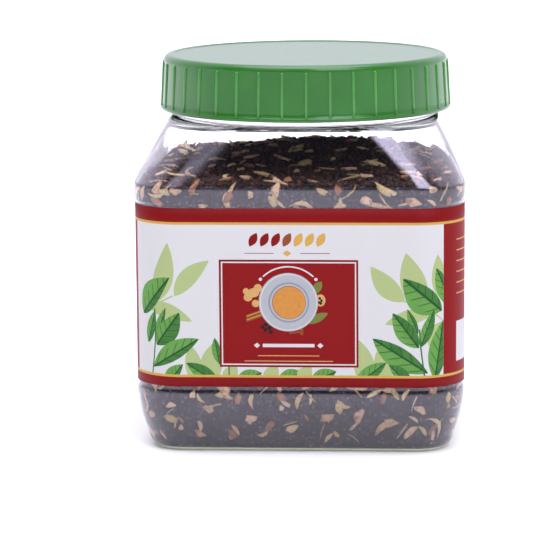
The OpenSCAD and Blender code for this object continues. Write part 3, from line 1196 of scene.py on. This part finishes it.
    def crest(self) -> List[Patch]:
        """A plain row of leaf shapes over a thin rule, from red to gold."""
        s = -2.9
        inks = (Ink.BAND_RED, Ink.BAND_RED, Ink.RED, Ink.BARK, Ink.GOLD, Ink.GOLD, Ink.GOLD)
        made = []
        for k, ink in enumerate(inks):
            at = s + (k - 3) * 3.3
            made.append(leaf(ink, (at - 1.1, 62.4), (at + 1.1, 66.4), 2.4, 0.0, 0.5))
        for side in (-1, 1):
            made.append(rect(Ink.BAND_RED, s + side * 8.2 - 4.3, 60.3, s + side * 8.2 + 4.3, 60.5))
        made.append(Patch(Ink.GOLD, ((s - 1.3, 60.4), (s, 61.3), (s + 1.3, 60.4), (s, 59.5))))
        return made

    def picture_panel(self) -> List[Patch]:
        """The front's white panel with leaves, the crest and the square, each kept inside it."""
        edge = self.shape.quarter / 2 - 0.02
        low = (self.shift - edge - self.white_left, self.z0 + self.foot_h)
        high = (self.shift + edge + self.white_right, self.z1 - self.band_h)
        patches = [*self.left_leaves(), *self.right_leaves(), *self.foot_leaves(), *self.crest(),
                   *self.square_field()]
        return [patch.placed(0.0, low, high) for patch in patches]

    def side_panel(self, at: float) -> List[Patch]:
        """A red side panel with a bare white box and a few pale rules."""
        half = self.shape.quarter / 2
        lo, hi = self.z0 + self.foot_h, self.z1 - self.band_h
        made = [rect(Ink.RED, at - half + self.white_right, lo, at + half - self.white_left, hi)]
        for k in range(6):
            z = hi - 6 - 3.2 * k
            made.append(rect(Ink.GINGER, at - half + 6, z, at - half + 34 - 4 * (k % 3), z + 0.35))
        made.append(rect(Ink.FILM, at - half + 6, lo + 4, at - half + 26, lo + 16))
        made.append(rect(Ink.GOLD, at + 2, lo + 4, at + 2.4, hi - 6))
        for k in range(5):
            z = hi - 7 - 6.0 * k
            made.append(leaf(Ink.PALE_LEAF, (at + 10, z - 2), (at + 18, z + 1.5), 3.2, 0.3, 0.5))
            made.append(leaf(Ink.PALE_LEAF, (at + 31, z - 2), (at + 23, z + 1.5), 3.2, -0.3, 0.5))
        return made

    def patches(self) -> List[Patch]:
        """Everything printed, from the back to the front, over a length once round the body."""
        q = self.shape.quarter
        low, high = -2 * q, 2 * q
        panel = self.picture_panel()
        made = [rect(Ink.FILM, low, self.z0, high, self.z1), *panel]
        for patch in panel:
            for shift in (high, low):
                if any(low <= s + shift <= high for s, _ in patch.outline):
                    made.append(patch.placed(shift, (low, self.z0), (high, self.z1)))
        made += self.side_panel(q + self.shift) + self.side_panel(-q + self.shift)
        lo, hi = self.z0 + self.foot_h, self.z1 - self.band_h
        made += [rect(Ink.BAND_RED, low, hi, high, self.z1), rect(Ink.BAND_RED, low, self.z0, high, lo),
                 rect(Ink.GOLD, low, hi - self.gold_h, high, hi),
                 rect(Ink.GOLD, low, lo, high, lo + self.gold_h)]
        return made

    def build(self) -> bpy.types.Object:
        """Cuts the flat print into faces, bends it round the panel and gives it its thickness."""
        patches = self.patches()
        q = self.shape.quarter
        points: List[Vector] = []
        edges: List[Tuple[int, int]] = []
        for patch in patches:
            line = patch.outline
            clean = [p for i, p in enumerate(line) if math.dist(p, line[i - 1]) > self.merge]
            first, count = len(points), len(clean)
            edges += [(first + i, first + (i + 1) % count) for i in range(count) if count > 1]
            points += [Vector(p) for p in clean]
        points += [Vector((-p.x, p.y)) for p in points if abs(abs(p.x) - 2 * q) < CLOSE]
        arc = self.shape.corner_r * math.pi / 4
        for turn in range(-2, 2):
            corner = (turn + 0.5) * q
            for s in np.arange(corner - arc, corner + arc + 0.01, self.line_step):
                edges.append((len(points), len(points) + 1))
                points += [Vector((float(s), self.z0)), Vector((float(s), self.z1))]
        flat, _, faces = delaunay_2d_cdt(points, edges, [], 0, self.merge)[:3]
        spots = np.array([p[:2] for p in flat])
        centres = np.array([spots[list(f)].mean(0) for f in faces])
        return self.fold(flat, faces, self.owners(centres, patches), patches)

    @staticmethod
    def owners(centres: np.ndarray, patches: Sequence[Patch]) -> np.ndarray:
        """The number of the last patch that covers each point.

        Args:
            centres: One row for each point of the flat print.
            patches: The patches, from the back to the front.

        Returns:
            One number for each point.
        """
        found = np.zeros(len(centres), dtype=int)
        for k, patch in enumerate(patches):
            line = np.array(patch.outline)
            near = np.where(np.all((centres >= line.min(0)) & (centres <= line.max(0)), axis=1))[0]
            if not len(near):
                continue
            s, z = centres[near, 0][:, None], centres[near, 1][:, None]
            a, b = line, np.roll(line, -1, axis=0)
            spans = (a[:, 1] > z) != (b[:, 1] > z)
            rise = np.where(a[:, 1] == b[:, 1], 1.0, b[:, 1] - a[:, 1])
            hits = spans & (s < a[:, 0] + (z - a[:, 1]) * (b[:, 0] - a[:, 0]) / rise)
            found[near[hits.sum(1) % 2 == 1]] = k
        return found

    def fold(self, flat: Sequence[Vector], faces: Sequence[Sequence[int]], owners: np.ndarray,
             patches: Sequence[Patch]) -> bpy.types.Object:
        """Bends the cut print round the body, closes it at the back and adds its inner face."""
        shape = self.shape
        s = np.array([p.x for p in flat])
        z = np.array([p.y for p in flat])
        front = self.bend(s, z, shape.recess - shape.label_t)
        back = self.bend(s, z, shape.recess)
        n = len(s)
        mesh = bmesh.new()
        uv = mesh.loops.layers.uv.new("leaf")
        verts = [mesh.verts.new((p * MM).tolist()) for p in np.vstack([front, back])]
        for face, owner in zip(faces, owners):
            top = patches[owner]
            if len(set(face)) < 3:
                continue
            made = mesh.faces.new([verts[i] for i in face])
            made.material_index = int(top.ink)
            made.smooth = True
            for loop, i in zip(made.loops, face):
                loop[uv].uv = top.local(s[i], z[i])
            inner = mesh.faces.new([verts[n + i] for i in reversed(face)])
            inner.material_index = int(Ink.FILM)
            inner.smooth = True
        directed = dict.fromkeys((a, b) for face in faces for a, b in zip(face, (*face[1:], face[0])))
        for a, b in directed:
            level = abs(z[a] - z[b]) < CLOSE and min(abs(z[a] - self.z0), abs(z[a] - self.z1)) < MM
            if level and (b, a) not in directed:
                side = mesh.faces.new([verts[b], verts[a], verts[n + a], verts[n + b]])
                side.material_index = int(Ink.FILM)
        bmesh.ops.remove_doubles(mesh, verts=mesh.verts, dist=CLOSE)
        data = bpy.data.meshes.new("label_print")
        mesh.to_mesh(data)
        mesh.free()
        made_object = bpy.data.objects.new("label_print", data)
        bpy.context.scene.collection.objects.link(made_object)
        for finish in self.inks():
            data.materials.append(finish.build())
        LOG.info("label: %d patches, %.1f mm round", len(patches), 4 * shape.quarter)
        return dress(made_object, ["label"])

    def bend(self, s: np.ndarray, z: np.ndarray, depth: float) -> np.ndarray:
        """Wraps points round the flat label panel, whose section doesn't change with height."""
        q = self.shape.quarter
        s = np.where(s > 2 * q - CLOSE, s - 4 * q, s)
        return self.shape.around(s, z, self.shape.core, self.shape.corner_r - depth)

    def inks(self) -> List[PrintedFilm]:
        """The finishes in the order of Ink."""
        return [
            PrintedFilm("ink_film", srgb(196, 198, 194), 0.01),
            PrintedFilm("ink_red", srgb(128, 12, 14)),
            PrintedFilm("ink_gold", srgb(196, 156, 74)),
            PrintedFilm("ink_pale_leaf", srgb(160, 176, 118), 0.03),
            LeafInk("ink_dark_leaf", srgb(42, 96, 42), 0.05, light=srgb(100, 152, 72), vein=srgb(26, 74, 34)),
            PrintedFilm("ink_stem", srgb(46, 106, 50)),
            PrintedFilm("ink_china", srgb(166, 170, 172), 0.06),
            PrintedFilm("ink_china_shade", srgb(132, 137, 143), 0.06),
            PrintedFilm("ink_tea", srgb(204, 142, 66), 0.16),
            PrintedFilm("ink_ginger", srgb(204, 164, 100), 0.16),
            PrintedFilm("ink_bark", srgb(134, 74, 38)),
            PrintedFilm("ink_pepper", srgb(40, 26, 26)),
            PrintedFilm("ink_pod", srgb(112, 122, 56), 0.12),
            PrintedFilm("ink_band_red", srgb(122, 11, 13)),
        ]


# ---------------------------------------------------------------- the dry mix


@dataclass
class DryMix:
    """The dry tea: a core with granular relief that reaches into the wall, and loose granules on top."""

    shape: BodyShape
    heap_h: float = 5.8
    heap_at: Point2 = (6.0, 16.0)
    lump: float = 0.5
    lump_pitch: float = 17.0
    grain: float = 1.3
    grain_r: float = 0.62
    heap_fall: float = 1.6
    floor_z: float = 1.35
    sunk: float = 0.3
    relief_in: float = 0.2
    relief_out: float = 0.42
    top_relief: float = 0.55
    columns: int = 560
    steps: int = 58
    jitter: float = 0.35
    bed_inset: float = 0.75
    bed_lift: float = -0.05

    def heap(self, x: np.ndarray, y: np.ndarray, share: np.ndarray) -> np.ndarray:
        """Height of the heap above its edge; share is 1 at the wall and 0 in the middle."""
        d2 = ((x - self.heap_at[0]) ** 2 + (y - self.heap_at[1]) ** 2) / self.shape.half_w ** 2
        pitch = 2 * math.pi / self.lump_pitch
        lumps = self.lump * np.sin(x * pitch) * np.cos(y * pitch + np.radians(x * 5))
        return (1 - share ** 3) * (self.heap_h * np.exp(-self.heap_fall * d2) + lumps)

    def relief(self, points: np.ndarray) -> np.ndarray:
        """How far the granules stand out at each point, from 0 to 1."""
        out = np.empty(len(points))
        for i, p in enumerate(points):
            d = noise.voronoi(Vector(p / self.grain), distance_metric="DISTANCE", exponent=2.5)[0]
            out[i] = max(0.0, 1 - (d[0] / self.grain_r) ** 2)
        return out

    def core(self) -> bpy.types.Object:
        """The solid under the loose granules."""
        s = self.shape
        n = self.columns
        round_s = np.linspace(-2 * s.quarter, 2 * s.quarter, n, endpoint=False)
        heights = [self.floor_z, *np.arange(2.0, s.panel_z0 + 0.8, 0.6), s.panel_z0 + 14, s.panel_z1 - 14,
                   *np.arange(s.panel_z1 - 0.8, s.fill_z + 0.05, 0.55)]
        sunk = s.wall - self.sunk
        rows = []
        for z in heights:
            bumps = self.relief(s.wrap(round_s, np.full(n, z), np.full(n, sunk)))
            rows.append(s.wrap(round_s, np.full(n, z), sunk + self.relief_in - self.relief_out * bumps))
        edge = s.wrap(round_s, np.full(n, s.fill_z), np.full(n, sunk))
        for k in range(1, self.steps):
            share = 1 - k / self.steps
            flat = edge * np.array([share, share, 1])
            lift = self.heap(flat[:, 0], flat[:, 1], np.full(n, share))
            flat[:, 2] = s.fill_z + lift - 0.5
            flat[:, 2] += self.top_relief * self.relief(flat)
            rows.append(flat)
        floor = s.wrap(round_s, np.full(n, self.floor_z), np.full(n, s.wall + 0.5))
        rows.insert(0, floor * np.array([0.5, 0.5, 1]) + np.array([0, 0, 0.9]))
        middle = self.heap(np.zeros(1), np.zeros(1), np.zeros(1))[0]
        points = np.vstack([*rows, [[0, 0, 2.3], [0, 0, s.fill_z + middle]]])
        made = mesh_object("mix_core", points, capped_faces(n, len(rows)))
        made.data.materials.append(DryTea("tea_core", srgb(24, 20, 25), srgb(114, 96, 102)).build())
        return dress(made, ["mix"])

    def bed(self, name: str, inset: float, lift: float, cells: int = 48) -> bpy.types.Object:
        """A flat-lying sheet that follows the top of the heap, for scattering."""
        s = self.shape
        w, r = (float(v) for v in s.rows_at(np.array(s.fill_z)))
        w, r = w - s.wall - inset, r - s.wall - inset
        grid = np.linspace(-w, w, cells)
        points, index = [], {}
        for i, x in enumerate(grid):
            for j, y in enumerate(grid):
                dx, dy = max(abs(x) - (w - r), 0), max(abs(y) - (w - r), 0)
                if math.hypot(dx, dy) <= r + CLOSE:
                    index[(i, j)] = len(points)
                    share = min(1.0, max(abs(x), abs(y)) / w)
                    z = s.fill_z + float(self.heap(np.array(x), np.array(y), np.array(share))) + lift
                    points.append((x, y, z))
        faces = []
        for i in range(cells - 1):
            for j in range(cells - 1):
                quad = [(i, j), (i + 1, j), (i + 1, j + 1), (i, j + 1)]
                found = [index[k] for k in quad if k in index]
                if len(found) >= 3:
                    faces.append(found)
        return mesh_object(name, np.array(points), faces)

    def granule(self, name: str, seed: int) -> bpy.types.Object:
        """A lumpy rolled granule about one millimetre across, with two dozen faces."""
        rng = np.random.default_rng(seed)
        stretch, offset = rng.uniform(0.8, 1.2, 3), rng.uniform(0, 50, 3)
        steps = (-1, 0, 1)
        index: Dict[Tuple[int, int, int], int] = {}
        points = []
        for key in ((x, y, z) for x in steps for y in steps for z in steps if any((x, y, z))):
            p = 0.5 * np.array(key) / math.sqrt(sum(v * v for v in key))
            index[key] = len(points)
            points.append(p * stretch * (1 + 0.3 * noise.noise(Vector(p * 2.4 + offset))))
        faces = []
        for axis, end in ((axis, end) for axis in range(3) for end in (-1, 1)):
            for i, j in ((i, j) for i in (-1, 0) for j in (-1, 0)):
                corners = [(i, j), (i + 1, j), (i + 1, j + 1), (i, j + 1)]
                quad = []
                for u, v in corners if end > 0 else reversed(corners):
                    key = [0, 0, 0]
                    key[axis], key[(axis + 1) % 3], key[(axis + 2) % 3] = end, u, v
                    quad.append(index[tuple(key)])
                faces.append(quad)
        return mesh_object(name, np.array(points), faces)

    def scatter(self, name: str, seed: int, spacing: float, size: Tuple[float, float],
                finish: bpy.types.Material) -> bpy.types.Object:
        """Loose granules of one kind over the top of the heap."""
        kinds = gather(name + "_kinds", [self.granule(f"{name}_{k}", seed * 10 + k) for k in range(5)])
        tumble = (math.pi, math.pi, math.pi)
        tree = scatter_tree(name, kinds, seed, spacing, size, tumble, self.jitter, finish)
        piece = tree.run(self.bed(name + "_bed", self.bed_inset, self.bed_lift), name)
        discard(kinds)
        return dress(piece)

    def build(self) -> List[bpy.types.Object]:
        """Makes the core and two kinds of loose granule."""
        black = DryTea("tea_black", srgb(30, 20, 18), srgb(84, 52, 40), "tone").build()
        brown = DryTea("tea_brown", srgb(60, 34, 25), srgb(134, 78, 54), "tone").build()
        return [self.core(), self.scatter("granules_black", 3, 1.12, (0.95, 1.5), black),
                self.scatter("granules_brown", 5, 2.2, (0.95, 1.5), brown)]


def gather(name: str, shapes: Sequence[bpy.types.Object]) -> bpy.types.Collection:
    """Moves shapes out of the scene and into a collection of their own."""
    kinds = bpy.data.collections.new(name)
    for shape in shapes:
        bpy.context.scene.collection.objects.unlink(shape)
        kinds.objects.link(shape)
    return kinds


def discard(kinds: bpy.types.Collection) -> None:
    """Removes a collection with the shapes in it."""
    for shape in list(kinds.objects):
        bpy.data.objects.remove(shape)
    bpy.data.collections.remove(kinds)


def scatter_tree(name: str, kinds: bpy.types.Collection, seed: int, spacing: float, size: Point2,
                 tumble: Tuple[float, float, float], lift: float, finish: bpy.types.Material) -> GeoTree:
    """A tree that strews shapes from a collection over a surface.

    Args:
        name: The tree's name.
        kinds: The shapes to pick from.
        seed: Seed of everything random in it.
        spacing: Least distance between two shapes, in millimetres.
        size: Least and greatest scale.
        tumble: How far a shape may turn each way about its own axes, in radians.
        lift: How far a shape may lie above or below the surface, in millimetres.
        finish: The material.

    Returns:
        The tree, ready to run.
    """
    tree = GeoTree(name)
    gap = tree.input("Spacing", "Float", spacing * MM)
    low = tree.input("Smallest", "Float", size[0])
    high = tree.input("Largest", "Float", size[1])
    source = tree.input("Shapes", "Collection", kinds)
    points = tree.add("GeometryNodeDistributePointsOnFaces", {"distribute_method": "POISSON"}, {
        "Mesh": tree.entry.outputs[0], "Distance Min": gap,
        "Density Max": CROWDING / (spacing * MM) ** 2, "Seed": seed})
    shift = tree.random((0.0, 0.0, -lift * MM), (0.0, 0.0, lift * MM), seed + 1, "FLOAT_VECTOR")
    moved = tree.add("GeometryNodeSetPosition", {}, {"Geometry": points.outputs[0], "Offset": shift})
    pick = tree.add("GeometryNodeCollectionInfo", {}, {
        "Collection": source, "Separate Children": True, "Reset Children": True})
    spin = tree.random(tuple(-a for a in tumble), tumble, seed + 2, "FLOAT_VECTOR")
    scale = tree.random(low, high, seed + 3)
    which = tree.random(0, len(kinds.objects) - 1, seed + 4, "INT")
    placed = tree.add("GeometryNodeInstanceOnPoints", {}, {
        "Points": moved.outputs[0], "Instance": pick.outputs[0], "Pick Instance": True,
        "Instance Index": which, "Rotation": spin, "Scale": scale})
    tone = tree.add("GeometryNodeStoreNamedAttribute", {"data_type": "FLOAT", "domain": "INSTANCE"}, {
        "Geometry": placed.outputs[0], "Name": "tone", "Value": tree.random(0.0, 1.0, seed + 5)})
    tree.close(tone.outputs[0], finish)
    return tree


# ---------------------------------------------------------------- the spices


class Cut(Enum):
    """How a bit of spice is broken."""

    CHIP = "chip"
    HUSK = "husk"
    SLIVER = "sliver"
    STALK = "stalk"
    BARK = "bark"


class Lie(Enum):
    """How bits lie: tilt in radians, least and greatest scale, and how far off the surface."""

    LOOSE = (0.32, (0.85, 1.4), 0.2)
    PRESSED = (0.16, (0.7, 1.25), 0.05)


@dataclass(frozen=True)
class SpiceKind:
    """One kind of spice bit: its sizes in millimetres and how densely it lies."""

    cut: Cut
    length: Tuple[float, float]
    breadth: Tuple[float, float]
    thickness: float
    curl: float
    variants: int
    top_spacing: float
    wall_spacing: float
    finish: DrySpice
    seed: int


@dataclass
class SpiceScatter:
    """Broken spices: some lie on the heap, and some are pressed against the clear wall."""

    mix: DryMix
    kinds: Sequence[SpiceKind]
    top_inset: float = 3.6
    top_lift: float = 0.75
    wall_z: float = 4.5
    reach: float = 0.3
    least_depth: float = 0.12

    def outline(self, kind: SpiceKind, rng: np.random.Generator) -> np.ndarray:
        """An uneven closed outline of unit length and breadth for one bit."""
        n = 13
        turn = np.linspace(0, 2 * math.pi, n, endpoint=False) + rng.uniform(-0.14, 0.14, n)
        jag = {Cut.CHIP: 0.36, Cut.BARK: 0.26, Cut.SLIVER: 0.22, Cut.HUSK: 0.2, Cut.STALK: 0.12}[kind.cut]
        point = {Cut.CHIP: 0.8, Cut.BARK: 0.7, Cut.SLIVER: 1.3, Cut.HUSK: 1.15, Cut.STALK: 0.8}[kind.cut]
        rough = rng.uniform(-jag, jag, n)
        reach = 1 + 0.55 * rough + 0.3 * (np.roll(rough, 1) + np.roll(rough, -1))
        x, y = np.cos(turn), np.sin(turn)
        y = np.sign(y) * np.abs(y) ** point
        if kind.cut in (Cut.CHIP, Cut.BARK):
            sides = int(rng.integers(4, 7))
            corner = (np.arange(sides) + rng.uniform(-0.3, 0.3, sides)) * 2 * math.pi / sides
            far = rng.uniform(0.8, 1.25, sides)
            along = np.arange(n) * sides / n
            x, y = (np.interp(along, np.arange(sides + 1), np.append(p, p[0]))
                    for p in (np.cos(corner) * far, np.sin(corner) * far))
            reach = 1 + 0.3 * rough
        return np.stack([x * reach * 0.5, y * reach * 0.5], 1)

    def bit(self, kind: SpiceKind, index: int) -> bpy.types.Object:
        """One closed bit of spice, curled along its length and dished across it."""
        rng = np.random.default_rng(kind.seed * 100 + index)
        length, breadth = rng.uniform(*kind.length), rng.uniform(*kind.breadth)
        line = self.outline(kind, rng) * np.array([length, breadth])
        rings = [line * share for share in (0.45, 0.92, 1.0, 0.92, 0.45)]
        levels = [0.5, 0.46, 0.0, -0.46, -0.5]
        curl = rng.uniform(-kind.curl, kind.curl)
        bow = rng.uniform(-1, 1) * kind.curl * 0.6
        dish = rng.uniform(-0.5, 0.9)
        points = []
        for outline, level in zip(rings, levels):
            for x, y in outline:
                z = level * kind.thickness
                z += dish * 0.18 * (y * y) + 0.02 * curl * x * x
                side = bow * 0.13 * x * x
                points.append((x, y + side, z + 0.06 * rng.uniform(-1, 1)))
        n = len(line)
        top_centre = (0, 0, 0.5 * kind.thickness + 0.03)
        low_centre = (0, 0, -0.5 * kind.thickness)
        points += [top_centre, low_centre]
        faces = [face[::-1] for face in capped_faces(n, len(rings))]
        made = mesh_object(f"{kind.cut.value}_{index}", np.array(points), faces)
        edge = made.data.attributes.new("rim", "FLOAT", "POINT")
        shares = np.repeat([0.3, 0.85, 1.0, 0.85, 0.3], n).tolist() + [0.0, 0.0]
        edge.data.foreach_set("value", shares)
        uv = made.data.uv_layers.new(name="grain")
        co = np.array([v.co[:] for v in made.data.vertices]) / MM
        for loop in made.data.loops:
            p = co[loop.vertex_index]
            uv.data[loop.index].uv = (p[0] / 4 + 0.5, p[1] / 4 + 0.5)
        return made

    def strip(self, name: str, z0: float, z1: float) -> bpy.types.Object:
        """A flat sheet that stands for a band of the wall, unrolled: X round the body, Y up."""
        q = self.mix.shape.quarter
        s = np.linspace(-2 * q, 2 * q, 81)
        points = [(x, z, 0.0) for z in (z0, z1) for x in s]
        n = len(s)
        faces = [(i, i + 1, n + i + 1, n + i) for i in range(n - 1)]
        return mesh_object(name, np.array(points), faces)

    def press(self, piece: bpy.types.Object) -> None:
        """Bends a flat scatter round the inside of the wall, its upper side just into the plastic."""
        shape = self.mix.shape
        mesh = piece.data
        co = np.empty(len(mesh.vertices) * 3)
        mesh.vertices.foreach_get("co", co)
        co = co.reshape(-1, 3) / MM
        depth = np.maximum(shape.wall - self.reach - co[:, 2], self.least_depth)
        bent = shape.wrap(co[:, 0], np.clip(co[:, 1], 1.4, shape.fill_z + 2), depth)
        mesh.vertices.foreach_set("co", (bent * MM).ravel())
        mesh.update()

    def strew(self, kind: SpiceKind, bits: bpy.types.Collection, finish: bpy.types.Material,
              host: bpy.types.Object, spacing: float, lie: Lie, seed: int) -> bpy.types.Object:
        """Strews one kind over one surface."""
        tilt, size, lift = lie.value
        name = f"{kind.cut.value}_{seed}"
        tree = scatter_tree("strew_" + name, bits, seed, spacing, size, (tilt, tilt, math.pi), lift, finish)
        return tree.run(host, name)

    def build(self) -> List[bpy.types.Object]:
        """Makes one piece for each kind, from its bits on the heap and at the wall."""
        made = []
        shape = self.mix.shape
        bands = ((self.wall_z, shape.panel_z0 + 1), (shape.panel_z1 - 1, shape.fill_z))
        for kind in self.kinds:
            bits = gather(kind.cut.value + "_bits", [self.bit(kind, k) for k in range(kind.variants)])
            finish = kind.finish.build()
            top = self.mix.bed("spice_bed", self.top_inset, self.top_lift)
            parts = [self.strew(kind, bits, finish, top, kind.top_spacing, Lie.LOOSE, kind.seed * 20)]
            for k, (z0, z1) in enumerate(bands):
                wall = self.strip("wall_strip", z0, z1)
                part = self.strew(kind, bits, finish, wall, kind.wall_spacing, Lie.PRESSED,
                                  kind.seed * 20 + 7 * (k + 1))
                self.press(part)
                parts.append(part)
            piece = join("spice_" + kind.cut.value, parts)
            discard(bits)
            made.append(dress(piece))
        return made


def join(name: str, parts: Sequence[bpy.types.Object]) -> bpy.types.Object:
    """Joins mesh objects that share one material into one piece."""
    bpy.ops.object.select_all(action="DESELECT")
    for part in parts:
        part.select_set(True)
    bpy.context.view_layer.objects.active = parts[0]
    bpy.ops.object.join()
    parts[0].name = name
    parts[0].data.name = name
    return parts[0]


# ---------------------------------------------------------------- camera, floor and light


@dataclass(frozen=True)
class Lobe:
    """A soft bright patch of the room in front of the jar; each edge goes from dark to bright."""

    left: Point2
    right: Point2
    low: Point2
    high: Point2
    radiance: float


@dataclass
class Studio:
    """A plain pale floor, soft studio light and the camera."""

    azimuth: float = 3.3
    elevation: float = 9.5
    distance: float = 0.852
    aim_z: float = 0.0532
    focal_px: float = 2753.0
    roll: float = -0.35
    shift_px: Point2 = (40.0, 16.4)
    horizon: Colour = (1.1, 1.05, 1.25)
    front_dark: float = 0.04
    zenith: float = 4.2
    lobes: Sequence[Lobe] = (
        Lobe((0.15, 0.32), (1.7, 1.1), (0.44, 0.6), (0.93, 0.84), 4.3),
        Lobe((-1.9, -0.9), (-0.15, -0.45), (0.45, 0.62), (0.9, 0.8), 1.2),
    )
    dim_low: Point2 = (0.08, 0.26)
    dim_side: Point2 = (0.15, -0.3)
    ceiling: Point2 = (0.84, 0.93)
    ahead: Point2 = (0.0, 0.25)
    floor_side: float = 4000.0

    @staticmethod
    def direction(azimuth: float, elevation: float) -> Vector:
        """A unit vector towards an azimuth, 0 at the front and 90 to the right, and an elevation."""
        a, e = math.radians(azimuth), math.radians(elevation)
        return Vector((math.sin(a) * math.cos(e), -math.cos(a) * math.cos(e), math.sin(e)))

    def camera(self) -> None:
        """Makes the camera and sets it as the scene's."""
        data = bpy.data.cameras.new("camera")
        data.sensor_width = 36.0
        data.lens = self.focal_px / IMAGE_SIDE * data.sensor_width
        data.shift_x = -self.shift_px[0] / IMAGE_SIDE
        data.shift_y = -self.shift_px[1] / IMAGE_SIDE
        made = bpy.data.objects.new("camera", data)
        bpy.context.scene.collection.objects.link(made)
        back = self.direction(self.azimuth, self.elevation)
        made.location = Vector((0, 0, self.aim_z)) + back * self.distance
        turn = (-back).to_track_quat("-Z", "Y").to_matrix().to_4x4()
        roll = Matrix.Rotation(math.radians(self.roll), 4, "Z")
        made.rotation_euler = (turn @ roll).to_euler()
        data.clip_start, data.clip_end = 0.01, 50
        bpy.context.scene.camera = made

    def light(self) -> None:
        """Lights the room: a bright pale horizon and ceiling, dim high up in front, with soft patches."""
        world = bpy.data.worlds.new("studio")
        bpy.context.scene.world = world
        graph = Graph(world)
        x, y, z = graph.node("ShaderNodeTexCoord", {}, {}, "Generated").parts()
        ahead = (0 - y).smooth(*self.ahead)
        slope = x / graph.node("ShaderNodeMath", {"operation": "MAXIMUM"}, {0: 0 - y, 1: 0.05})
        shade = z.smooth(*self.dim_low) * z.smooth(*reversed(self.ceiling)) * y.smooth(*self.dim_side)
        level = 1 - shade * (1 - self.front_dark)
        level = level + z.smooth(*self.ceiling) * (self.zenith - 1)
        for lobe in self.lobes:
            across = slope.smooth(*lobe.left) * slope.smooth(*lobe.right)
            level = level + (across * z.smooth(*lobe.low) * z.smooth(*lobe.high) * ahead * lobe.radiance)
        room = graph.node("ShaderNodeBackground", {}, {"Color": self.horizon, "Strength": level})
        graph.finish(room)

    def floor(self) -> None:
        """Lays the floor."""
        corners = np.array([(-1, -1, 0), (1, -1, 0), (1, 1, 0), (-1, 1, 0)]) * self.floor_side
        made = mesh_object("floor", corners, [(0, 1, 2, 3)], smooth=False)
        made.data.materials.append(PlainFloor().build())

    def build(self) -> None:
        """Makes the camera, the lights and the floor, and shows light as it is."""
        self.camera()
        self.light()
        self.floor()
        bpy.context.scene.view_settings.view_transform = "Standard"


# ---------------------------------------------------------------- the whole


def spice_kinds() -> List[SpiceKind]:
    """The kinds of broken spice in the mix."""
    chip = DrySpice("spice_chip", srgb(234, 208, 172), srgb(204, 166, 128), srgb(128, 92, 64))
    husk = DrySpice("spice_husk", srgb(226, 206, 152), srgb(196, 170, 112), srgb(128, 104, 62))
    sliver = DrySpice("spice_sliver", srgb(234, 212, 166), srgb(204, 172, 122), srgb(130, 98, 62))
    stalk = DrySpice("spice_stalk", srgb(214, 192, 148), srgb(172, 144, 100), srgb(104, 80, 52))
    bark = DrySpice("spice_bark", srgb(188, 140, 104), srgb(150, 102, 72), srgb(86, 56, 40))
    return [
        SpiceKind(Cut.CHIP, (3.0, 6.2), (2.0, 3.8), 0.55, 1.0, 9, 10.0, 5.9, chip, 11),
        SpiceKind(Cut.HUSK, (4.5, 6.6), (1.9, 2.8), 0.4, 1.4, 6, 14.5, 11.5, husk, 13),
        SpiceKind(Cut.SLIVER, (4.5, 8.0), (0.9, 1.6), 0.4, 2.6, 7, 15.0, 7.2, sliver, 17),
        SpiceKind(Cut.STALK, (5.0, 9.0), (0.45, 0.7), 0.4, 1.2, 5, 19.0, 9.0, stalk, 19),
        SpiceKind(Cut.BARK, (2.6, 5.0), (1.6, 2.4), 0.8, 0.6, 6, 13.5, 9.6, bark, 23),
    ]


def main() -> None:
    """Builds every piece in order."""
    logging.basicConfig(level=logging.INFO, format="%(name)s: %(message)s")
    shape = BodyShape()
    Studio().build()
    JarBody(shape).build()
    ScrewCap(shape).build()
    PictureLabel(shape).build()
    mix = DryMix(shape)
    mix.build()
    SpiceScatter(mix, spice_kinds()).build()


if __name__ == "__main__":
    main()
